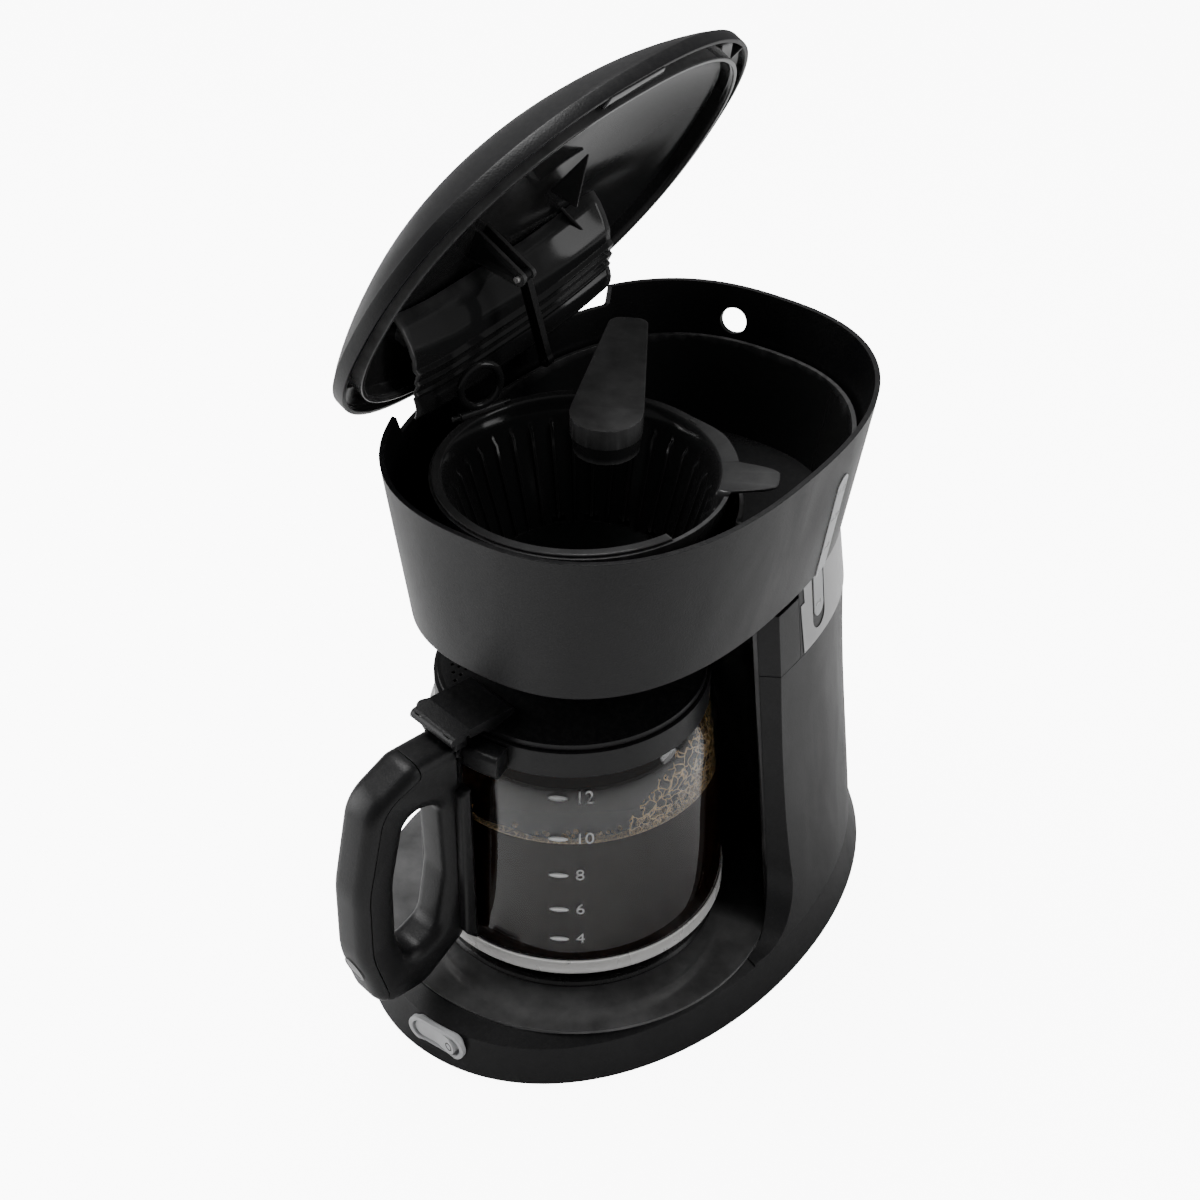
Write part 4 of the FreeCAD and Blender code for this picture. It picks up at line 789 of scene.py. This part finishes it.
def build_handle():
    """The handle's loop with rounded edges, its wide strip and the seam of the grip panel."""
    edge = sizes().handle_edge / MM
    outlines = [rounded_outline(HANDLE_OUT, 20), rounded_outline(HANDLE_GAP, 20)[::-1]]
    seam = [rounded_outline(GRIP_SEAM, 20)]
    grip = plate("handle_grip", outlines, 23.0, edge, handle_frame())
    carve(grip, plate("grip_zone", seam, 40.0, 0.1, handle_frame()), "INTERSECT")
    finish_piece(grip, "carafe", "satin_black", stands_for=["handle_grip_panel"])
    loop = plate("handle_loop", outlines, 23.0, edge, handle_frame())
    wider = [[(x - 0.5, z) for x, z in seam[0]]]
    carve(loop, plate("grip_zone", wider, 40.0, 0.1, handle_frame()), "DIFFERENCE")
    finish_piece(loop, "carafe", "satin_black", stands_for=["carafe_handle"])
    strip = plate("handle_strip", [rounded_outline([(75.8, 52.0, 1), (75.8, 149.0, 1), (82.0, 149.0, 4),
                                                    (83.0, 60.0, 6)])], 34.0, 1.8, handle_frame())
    finish_piece(strip, "carafe", "satin_black")
    for side in (-1, 1):
        ear = plate("handle_ear", [rounded_outline(HINGE_EAR)], 3.3, 0.5, handle_frame(side * 10.25))
        finish_piece(ear, "carafe", "satin_black")
    build_handle_bridge()


def build_handle_bridge():
    """The arc that holds the handle to the collar of the glass."""
    middle = math.atan2(OUTWARD.y, OUTWARD.x)
    profile = rounded_outline(BRIDGE_PROFILE, 4)
    core_r, core_z = BRIDGE_CORE
    steps = 24
    rings = []
    for step in range(-1, steps + 2):
        share = min(max(step / steps, 0.0), 1.0)
        inside = 0 <= step <= steps
        turn = middle + BRIDGE_HALF_TURN * (2 * share - 1) * (1.0 if inside else BRIDGE_END_REACH)
        tight = 1.0 if inside else BRIDGE_END_TAPER
        rings.append([around_carafe(turn, core_z + (height - core_z) * tight,
                                    core_r + (radius - core_r) * tight)
                      for radius, height in profile])
    bridge = rings_mesh("handle_bridge", rings, cap_start=True, cap_end=True)
    finish_piece(bridge, "carafe", "satin_black")


def build_band():
    """The steel band at the foot of the glass, with a rolled edge above and below."""
    low, high = 40.6, 49.1
    profile = [(74.35, low), (75.0, low + 0.1), (75.2, low + 0.8), (75.0, low + 1.5),
               (75.0, high - 1.5), (75.2, high - 0.8), (75.0, high - 0.1), (74.35, high)]
    band = turned("steel_foot_band", profile, CARAFE_AXIS, steps=180)
    finish_piece(band, "carafe", "steel", stands_for=["steel_band"])


class MAKER_OT_carafe(Operator):
    """Build the glass, its band, the coffee and froth in it, the printed marks and the handle."""
    bl_idname = "maker.carafe"
    bl_label = "Carafe"

    def execute(self, context):
        build_glass()
        build_band()
        build_coffee()
        build_froth()
        build_film()
        build_level_marks()
        build_handle()
        return {"FINISHED"}


# ---- basket ------------------------------------------------------------------------------------------

BASKET_TOP, BASKET_FLOOR = 278.0, 216.6
BASKET_WALL = 1.6
BASKET_STEPS = 1080
BASKET_SLOT_TURNS = (-100, -80, 40, 60, 80, 100, 120, 140)
FLANGE_DIP = 8.0
RIB_LOW, RIB_HIGH = 217.5, 266.0
RIB_HALF_TURN, RIB_SOFT_TURN = 1.25, 0.45  # degrees


def plateau(turn, middle, half, soft):
    """1 within half degrees of the middle, falling smoothly to 0 over the next soft degrees."""
    away = abs((math.degrees(turn) - middle + 180) % 360 - 180)
    share = min(1.0, max(0.0, (half + soft - away) / soft))
    return share * share * (3 - 2 * share)


def basket_inner(height):
    return 44.0 + (62.3 - 44.0) * (height - 215.0) / 63.0


def flange_reach(turn):
    """Outer radius of the flange: round, with a thumb tab at the back right and a dip in front."""
    wide = 67.0 + 4.0 * plateau(turn, 44, 12, 22)
    tab = 17.5 * plateau(turn, 29.5, 3.2, 7.0) ** 0.7
    return wide + tab


def flange_dip(turn):
    """1 in the dip at the front of the flange, 0 elsewhere."""
    return plateau(turn, 0, 15, 4)


def flange_top(turn):
    return BASKET_TOP - FLANGE_DIP * flange_dip(turn)


def flange_edge(turn):
    """Outer radius of the flange, which narrows to the wall in the dip."""
    return flange_reach(turn) * (1 - flange_dip(turn)) + 63.6 * flange_dip(turn)


def rib(turn, height):
    """How far the ribs stand in from the wall at a turn and a height."""
    count, depth = sizes().rib_count, sizes().rib_depth / MM
    away = abs((turn * count / (2 * math.pi) + 0.5) % 1 - 0.5) * 360 / count
    side = min(1.0, max(0.0, (RIB_HALF_TURN - away) / RIB_SOFT_TURN))
    tall = min(1.0, max(0.0, (height - RIB_LOW) / 3.0), max(0.0, (RIB_HIGH - height) / 2.0))
    return depth * side * tall


def basket_ring(radius_at, height_at):
    """A ring of points whose radius and height are numbers or functions of the turn."""
    points = []
    for step in range(BASKET_STEPS):
        turn = 2 * math.pi * step / BASKET_STEPS
        radius = radius_at(turn) if callable(radius_at) else radius_at
        height = height_at(turn) if callable(height_at) else height_at
        points.append(Vector((radius * math.cos(turn), radius * math.sin(turn), height)) * MM)
    return points


def ribbed_ring(height):
    """A ring of the inner wall, with its ribs, that follows the dip near the top."""

    def radius_at(turn):
        return basket_inner(height) - rib(turn, height)

    def height_at(turn):
        return height - FLANGE_DIP * flange_dip(turn) * max(0.0, (height - 248.0) / 30.0)

    return basket_ring(radius_at, height_at)


def flange_ring(radius, drop, inset=0.0):
    """A ring of the flange, a drop below its top: of that radius, or of its edge less an inset."""

    def radius_at(turn):
        return flange_edge(turn) - inset

    def height_at(turn):
        return flange_top(turn) - drop

    return basket_ring(radius_at if radius is None else radius, height_at)


def build_basket():
    """The ribbed filter basket with its flange, thumb tab and dipped front edge."""
    rings = [basket_ring(4.0, BASKET_FLOOR), basket_ring(12.0, BASKET_FLOOR),
             basket_ring(41.0, BASKET_FLOOR + 0.8)]
    rings += [ribbed_ring(height)
              for height in (218.0, 221.0, 224.0, 235.0, 248.0, 263.5, 266.0, 269.0)]
    rings += [flange_ring(basket_inner(276.5), 1.0), flange_ring(basket_inner(278.0) + 0.6, 0.0),
              flange_ring(None, 0.0, 0.5), flange_ring(None, 0.4), flange_ring(None, 1.0),
              flange_ring(None, 1.4, 0.4), flange_ring(basket_inner(276.0) + BASKET_WALL, 1.4)]
    rings += [basket_ring(basket_inner(248.0) + BASKET_WALL, 248.0),
              basket_ring(44.0 + BASKET_WALL, 216.0), basket_ring(44.0, 215.0),
              basket_ring(4.0, 215.0)]
    basket = rings_mesh("ribbed_basket", rings, loop=True)
    for slot_turn in BASKET_SLOT_TURNS:
        window = cutter_box((38.0, -3.0, 218.2), (52.0, 3.0, 221.2), math.radians(slot_turn))
        carve(basket, window, "DIFFERENCE")
    finish_piece(basket, "basket", "gloss_black", stands_for=["filter_basket"])


class MAKER_OT_basket(Operator):
    """Build the filter basket."""
    bl_idname = "maker.basket"
    bl_label = "Filter Basket"

    def execute(self, context):
        build_basket()
        return {"FINISHED"}


# ---- lid ---------------------------------------------------------------------------------------------

HINGE = Vector((-89.3, 0.0, 286.0))
LID_ANGLE = math.radians(59.6)
LID_BOTTOM, LID_BAND, LID_CROWN = 288.4, 6.5, 30.0
LID_HALF_WIDTH, LID_HALF_DEPTH, LID_MIDDLE = 97.0, 129.5, 43.5
WALL_HALF_WIDTH, WALL_HALF_DEPTH, WALL_MIDDLE, WALL_POWER = 93.2, 124.6, 43.0, 2.45
COVER_REACH = 91.6
OPEN = (Matrix.Translation(HINGE * MM) @ Matrix.Rotation(-LID_ANGLE, 4, "Y")
        @ Matrix.Translation(-HINGE * MM))


def opened(piece):
    """Turn a piece that was drawn on the shut lid to where the open lid stands."""
    piece.data.transform(OPEN)
    return piece


def lid_piece(piece, slot="gloss_black", stands_for=()):
    return finish_piece(opened(piece), "lid", slot, stands_for=stands_for)


def lid_ring(inset, height, share=1.0):
    """A level section of the shut lid, stepped inward and narrowed to a share of its width."""
    return oval(height, (LID_HALF_WIDTH - inset) * share, (LID_HALF_DEPTH - inset) * share,
                LID_MIDDLE, 2.0 + 0.35 * share)


def crown_height(share, drop=0.0):
    return LID_BOTTOM - drop + LID_BAND + LID_CROWN * (1 - share ** 3)


def build_lid_dome():
    """The domed outside of the lid with its upright edge band and rolled lip."""
    skin = 2.2
    shares = [1 - 0.97 * (step / 26) for step in range(27)]
    rings = [lid_ring(skin, LID_BOTTOM + 1.0), lid_ring(skin, LID_BOTTOM + 0.3),
             lid_ring(skin - 0.3, LID_BOTTOM), lid_ring(0.4, LID_BOTTOM),
             lid_ring(0.1, LID_BOTTOM + 0.12), lid_ring(0.0, LID_BOTTOM + 0.5),
             lid_ring(0.0, LID_BOTTOM + LID_BAND - 0.8)]
    rings += [lid_ring(0.12, LID_BOTTOM + LID_BAND - 0.2)]
    rings += [lid_ring(0.0, crown_height(share), share) for share in shares[1:]]
    rings += [lid_ring(skin, crown_height(share, skin), share) for share in reversed(shares)]
    dome = rings_mesh("lid_dome", rings[:8 + len(shares) - 1], cap_end=True)
    lid_piece(dome, "satin_black", stands_for=["lid_shell"])
    inside = rings_mesh("lid_dome_inside", rings[8 + len(shares) - 1:] + [rings[0]], cap_start=True)
    lid_piece(inside)


def build_lid_ceiling():
    """The smooth glossy ceiling of the lid, inside the ring that meets the basket."""
    drop = 4.7
    shares = [0.925 - 0.9 * (step / 24) for step in range(25)]
    low_rim = [lid_ring(10.9, 287.2), lid_ring(10.95, 290.0)]
    corner = lid_ring(11.3, crown_height(0.925, drop) - 1.6)
    rings = low_rim + [corner] + [lid_ring(drop, crown_height(share, drop), share) for share in shares]
    ceiling = rings_mesh("lid_ceiling", rings, cap_end=True)
    solid = ceiling.modifiers.new("Skin", "SOLIDIFY")
    solid.thickness = 0.3 * MM
    lid_piece(ceiling)
    bead = ((9.0, 286.9), (9.2, 286.5), (10.0, 286.35), (10.8, 286.5), (11.0, 286.9), (10.0, 287.3))
    rim = rings_mesh("lid_ceiling_bead", [lid_ring(inset, height) for inset, height in bead], loop=True)
    lid_piece(rim)


def build_hinge_cover():
    """The stepped cover that closes the notch behind the hinge, whether the lid is open or shut."""
    profile = [(0.0, -10.5), (2.7, -10.1), (5.3, -9.1), (7.4, -7.4), (9.1, -5.3), (11.2, -5.2),
               (11.5, -3.6), (16.6, -3.4), (17.0, -1.6), (21.8, -1.0), (22.2, 1.6), (27.0, 4.6),
               (31.3, 9.9), (35.0, 16.0), (37.6, 23.6)]
    form = bmesh.new()
    rows = []
    start, end, count = -22.0, 124.0, 48
    for step in range(count + 1):
        y = start + (end - start) * step / count
        wall = WALL_HALF_WIDTH * (1 - abs((y - WALL_MIDDLE) / WALL_HALF_DEPTH) ** WALL_POWER) ** (
            1 / WALL_POWER)
        shift = max(0.0, COVER_REACH - wall)
        rows.append([form.verts.new(Vector((HINGE.x + dx + shift, y, HINGE.z + dz)) * MM)
                     for dx, dz in profile])
    for near, far in zip(rows, rows[1:]):
        for index in range(len(profile) - 1):
            form.faces.new((near[index], far[index], far[index + 1], near[index + 1]))
    cover = mesh_object("hinge_cover", form, angle=25.0)
    solid = cover.modifiers.new("Wall", "SOLIDIFY")
    solid.thickness = 1.2 * MM
    solid.offset = 0.0
    lid_piece(cover)


def fin(name, outline, thickness, spot, turn):
    """An upright fin on the shut lid: an outline of (along, height), turned about the vertical."""
    stand = Matrix.Translation(Vector(spot) * MM) @ Matrix.Rotation(turn, 4, "Z")
    upright = stand @ Matrix.Rotation(math.radians(90), 4, "X")
    piece = plate(name, [rounded_outline(outline)], thickness, 0.35, upright, resolution=2)
    return lid_piece(piece)


def build_lid_fins():
    """The finger notch bar, the corner gusset, the wedge ribs and the screw boss under the lid."""
    bar = plate("finger_notch_bar", [rounded_outline([(88.4, 16.0, 2), (95.6, 19.0, 2), (95.6, 58.0, 2),
                                                      (88.4, 61.0, 2)])], 3.2, 0.7,
                Matrix.Translation((0, 0, 289.4 * MM)))
    lid_piece(bar)
    fin("corner_gusset", [(0, 288.0, 0.5), (8.5, 288.0, 0.5), (8.5, 294.0, 0.5)], 1.4,
        (65.5, 132.0, 0), 0.93)
    fin("wedge_rib_long", [(0, 309.0, 0.5), (34, 309.0, 0.5), (34, 291.0, 1.0), (18, 296.0, 8)], 1.6,
        (-38.0, 98.0, 0), 2.35)
    fin("wedge_rib_short", [(0, 314.0, 0.5), (26, 314.0, 0.5), (3, 299.0, 1.0)], 1.6,
        (-26.0, 88.0, 0), 0.9)
    boss = turned("screw_boss", [(1.2, 306.0), (1.2, 299.6), (1.6, 299.2), (2.9, 299.2), (3.3, 299.6),
                                 (3.6, 309.0)], (-60.0, -12.0), steps=32)
    lid_piece(boss)


class MAKER_OT_lid(Operator):
    """Build the lid's dome, its ceiling, the cover of its hinge and the fins under it."""
    bl_idname = "maker.lid"
    bl_label = "Lid"

    def execute(self, context):
        build_lid_dome()
        build_lid_ceiling()
        build_hinge_cover()
        build_lid_fins()
        return {"FINISHED"}


# ---- small details on the casings --------------------------------------------------------------------


def seated(thing, start, direction):
    """Where a line meets a thing's surface, as a frame whose Z is the surface's normal."""
    hit, spot, normal, _ = thing.ray_cast(Vector(start) * MM, Vector(direction))
    if not hit:
        raise RuntimeError(f"no surface of {thing.name} at {start}")
    across = Vector((0, 0, 1)).cross(normal).normalized()
    up = normal.cross(across)
    return Matrix.Translation(spot) @ Matrix((across, up, normal)).transposed().to_4x4()


def build_rear_skirt():
    """The smoother panel below the head's band, around the back, in a light grey that is painted sheen
    over the black casing.
    """
    rings = []
    for step in range(9):
        share = step / 8
        height = 172.7 + 36.9 * share
        rings.append(oval(height, 86.3 - 3.7 * share, 121.3 - 2.8 * share, 43.0 - 2.0 * share, 2.4,
                          240))
    form = bmesh.new()
    for low, high in zip(rings, rings[1:]):
        for index in range(len(low)):
            corners = (low[index], low[index - 1], high[index - 1], high[index])
            if min(corner.y for corner in corners) > 59.5 * MM:
                form.faces.new([form.verts.new(corner) for corner in corners])
    bmesh.ops.remove_doubles(form, verts=form.verts, dist=0.01 * MM)
    skirt = mesh_object("rear_skirt_panel", form)
    skin = skirt.modifiers.new("Skin", "SOLIDIFY")
    skin.thickness = 0.2 * MM
    upright = Matrix((Vector((0, 1, 0)), Vector((0, 0, 1)), Vector((1, 0, 0)))).transposed().to_4x4()
    outline = rounded_outline([(71.2, 178.4, 6.7), (84.8, 178.4, 6.7), (84.8, 240, 1), (71.2, 240, 1)])
    window = plate("cutter", [outline], 60.0, 0.05, Matrix.Translation((85 * MM, 0, 0)) @ upright)
    carve(skirt, window, "DIFFERENCE")
    finish_piece(skirt, "root", "satin_black", finish="painted_sheen_panel")


TICK_OUTLINE = [(-3.6, -0.45, 0.4), (-0.4, -0.45, 0.4), (-0.4, 0.45, 0.4), (-3.6, 0.45, 0.4)]


def build_window_marks():
    """White marks and numerals that stand up from the water window."""
    for number, height in enumerate((192.0, 208.0, 225.0, 242.0, 258.0)):
        place = seated(NODES["water_window"], (120.0, 78.0, height), (-1, 0, 0))
        tick = plate("window_mark", [rounded_outline(TICK_OUTLINE)], 0.5, 0.12, place, resolution=1)
        finish_piece(tick, "root", "window_plastic", finish="print")
        words = text_mesh(str(2 * number + 4), 3.6 * MM)
        form = bmesh.new()
        form.from_mesh(words)
        bpy.data.meshes.remove(words)
        bmesh.ops.transform(form, verts=form.verts,
                            matrix=place @ Matrix.Translation((0.3 * MM, 0, 0.12 * MM)))
        numeral = mesh_object("window_numeral", form)
        raised = numeral.modifiers.new("Raised", "SOLIDIFY")
        raised.thickness = 0.25 * MM
        finish_piece(numeral, "root", "window_plastic", finish="print")


def build_back_arrow():
    """An arrow on the basket's flange that points to the back of the machine."""
    turn = math.radians(72)
    place = (Matrix.Translation(Vector((64.6 * math.cos(turn), 64.6 * math.sin(turn), 278.0)) * MM)
             @ Matrix.Rotation(turn - math.pi / 2, 4, "Z"))
    outline = rounded_outline([(-3.4, -1.4, 0.3), (3.4, -1.4, 0.3), (0, 2.0, 0.3)])
    arrow = plate("flange_arrow", [outline], 0.7, 0.15, place, resolution=1)
    finish_piece(arrow, "basket", "gloss_black")


def symbol_ring(name, place, radius, width, rise):
    """A thin raised ring, such as the sign of a switch, seated on a surface."""
    ring = turned(name, [(radius, -0.1), (radius, rise), (radius - width, rise),
                         (radius - width, -0.1)], steps=48)
    ring.data.transform(place)
    return ring


def build_switch_sign():
    place = seated(NODES["switch_rocker"], (8.5, -300.0, 14.5), (0, 1, 0))
    sign = symbol_ring("switch_sign", place, 2.3, 0.55, 0.12)
    finish_piece(sign, "rocker", "grey_plastic", finish="gloss_black")


def build_badge():
    """The plain round badge near the foot of the grip."""
    start = Vector((CARAFE_AXIS[0], CARAFE_AXIS[1], 62.0)) + OUTWARD * 200.0
    place = seated(bpy.data.objects["handle_grip"], start, -OUTWARD)
    badge = turned("grip_badge", [(0.01, -0.4), (6.9, -0.4), (6.9, 0.15), (6.6, 0.4), (5.9, 0.4),
                                  (5.7, 0.2), (0.01, 0.3)], steps=64)
    badge.data.transform(place)
    finish_piece(badge, "carafe", "satin_black", finish="gloss_black", stands_for=["handle_badge"])


class MAKER_OT_details(Operator):
    """Build the rear panel, the window's marks, the flange arrow, the switch sign and the badge."""
    bl_idname = "maker.details"
    bl_label = "Small Details"

    def execute(self, context):
        build_rear_skirt()
        build_window_marks()
        build_back_arrow()
        build_switch_sign()
        build_badge()
        return {"FINISHED"}


# ---- finishes of the carried-over nodes --------------------------------------------------------------


class MAKER_OT_finishes(Operator):
    """Make every finish and give each CAD node the finish of its slot."""
    bl_idname = "maker.finishes"
    bl_label = "Finishes"

    def execute(self, context):
        FINISH.update(make_finishes())
        for name, node in NODES.items():
            slot = node_slot(name)
            finish = "wire" if name == "wire_leads" else slot
            for index in range(len(node.material_slots)):
                node.material_slots[index].material = FINISH[finish]
            if not node.material_slots:
                node.data.materials.append(FINISH[finish])
        return {"FINISHED"}


def node_slot(name):
    """The record's material slot of a CAD node."""
    for part in frame["record"]["subparts"]:
        if name in (part.get("node"), part.get("name")):
            return part["material_slot"]
    raise ValueError(f"the record gives no material slot for {name}")


# ---- stage -------------------------------------------------------------------------------------------

CAMERA_PLACE = (0.4653, -0.6349, 0.7935)
CAMERA_TARGET = (0.00941, 0.00133, 0.20763)
CAMERA_LENS = 63.307
WORLD_LIGHT, FLOOR_GLOW = 0.22, 9.0
LAMPS = (  # name, place, target, width, height, power
    ("top_softbox", (-0.4, 0.2, 1.65), (0, 0, 0.2), 1.0, 1.0, 34.0),
    ("left_softbox", (-1.4, -0.8, 0.5), (0, 0, 0.15), 0.8, 1.2, 18.0),
    ("right_softbox", (1.35, 0.55, 0.7), (0, 0, 0.15), 0.5, 1.2, 5.0),
)


def aim(thing, target):
    """Turn a lamp or camera to look at a point."""
    thing.rotation_euler = (Vector(target) - thing.location).to_track_quat("-Z", "Y").to_euler()


def softbox(name, place, target, width, height, power):
    lamp = bpy.data.lights.new(name, "AREA")
    lamp.shape = "RECTANGLE"
    lamp.size = width
    lamp.size_y = height
    lamp.energy = power
    thing = bpy.data.objects.new(name, lamp)
    bpy.context.scene.collection.objects.link(thing)
    thing.location = place
    aim(thing, target)
    return thing


def build_floor():
    form = bmesh.new()
    steps, reach = 24, 6.0
    grid = [[form.verts.new((reach * (2 * column / steps - 1), reach * (2 * row / steps - 1), 0.0))
             for column in range(steps + 1)] for row in range(steps + 1)]
    for low, high in zip(grid, grid[1:]):
        for column in range(steps):
            form.faces.new((low[column], low[column + 1], high[column + 1], high[column]))
    floor = mesh_object("studio_floor", form)
    material, tree, shader, place = blank_material("Studio Floor")
    smudge = use(tree, hand_smudges(), Place=place, Spread=3.0, Clean=0.85, Smudged=0.9)
    tree.links.new(smudge.outputs["Roughness"], shader.inputs["Roughness"])
    shader.inputs["Base Color"].default_value = opaque(colours().floor)
    shader.inputs["Specular IOR Level"].default_value = 0.1
    seen = add(tree, "ShaderNodeLightPath").outputs["Is Camera Ray"]
    shader.inputs["Emission Color"].default_value = WHITE
    glow = add(tree, "ShaderNodeMath", {0: seen, 1: FLOOR_GLOW}, operation="MULTIPLY")
    tree.links.new(glow.outputs["Value"], shader.inputs["Emission Strength"])
    floor.data.materials.append(material)


class MAKER_OT_stage(Operator):
    """Build the floor, the softboxes, the world and the camera."""
    bl_idname = "maker.stage"
    bl_label = "Stage"

    def execute(self, context):
        build_floor()
        world = bpy.data.worlds.new("Studio")
        context.scene.world = world
        world.use_nodes = True
        world.node_tree.nodes["Background"].inputs["Color"].default_value = WHITE
        world.node_tree.nodes["Background"].inputs["Strength"].default_value = WORLD_LIGHT
        for lamp in LAMPS:
            softbox(*lamp)
        camera = bpy.data.objects.new("view", bpy.data.cameras.new("view"))
        context.scene.collection.objects.link(camera)
        camera.location = CAMERA_PLACE
        camera.data.lens = CAMERA_LENS
        aim(camera, CAMERA_TARGET)
        context.scene.camera = camera
        return {"FINISHED"}


# ---- panel and registration --------------------------------------------------------------------------

STEPS = (MAKER_OT_stage, MAKER_OT_finishes, MAKER_OT_carafe, MAKER_OT_basket, MAKER_OT_lid,
         MAKER_OT_details)


class MAKER_PT_panel(Panel):
    """Lists the sizes, the colours and the steps of the coffee maker."""
    bl_idname = "MAKER_PT_panel"
    bl_label = "Coffee Maker"
    bl_space_type = "VIEW_3D"
    bl_region_type = "UI"
    bl_category = "Coffee Maker"

    def draw(self, context):
        for group in (context.scene.maker_sizes, context.scene.maker_colours):
            box = self.layout.box()
            for name in group.__annotations__:
                box.prop(group, name)
        for step in STEPS:
            self.layout.operator(step.bl_idname)


def register():
    for kind in (MakerSizes, MakerColours, *STEPS, MAKER_PT_panel):
        bpy.utils.register_class(kind)
    bpy.types.Scene.maker_sizes = PointerProperty(type=MakerSizes)
    bpy.types.Scene.maker_colours = PointerProperty(type=MakerColours)


def unregister():
    del bpy.types.Scene.maker_colours
    del bpy.types.Scene.maker_sizes
    for kind in (MAKER_PT_panel, *reversed(STEPS), MakerColours, MakerSizes):
        bpy.utils.unregister_class(kind)


def main():
    register()
    bpy.ops.maker.stage()
    bpy.ops.maker.finishes()
    bpy.ops.maker.carafe()
    bpy.ops.maker.basket()
    bpy.ops.maker.lid()
    bpy.ops.maker.details()


if __name__ == "__main__":
    main()
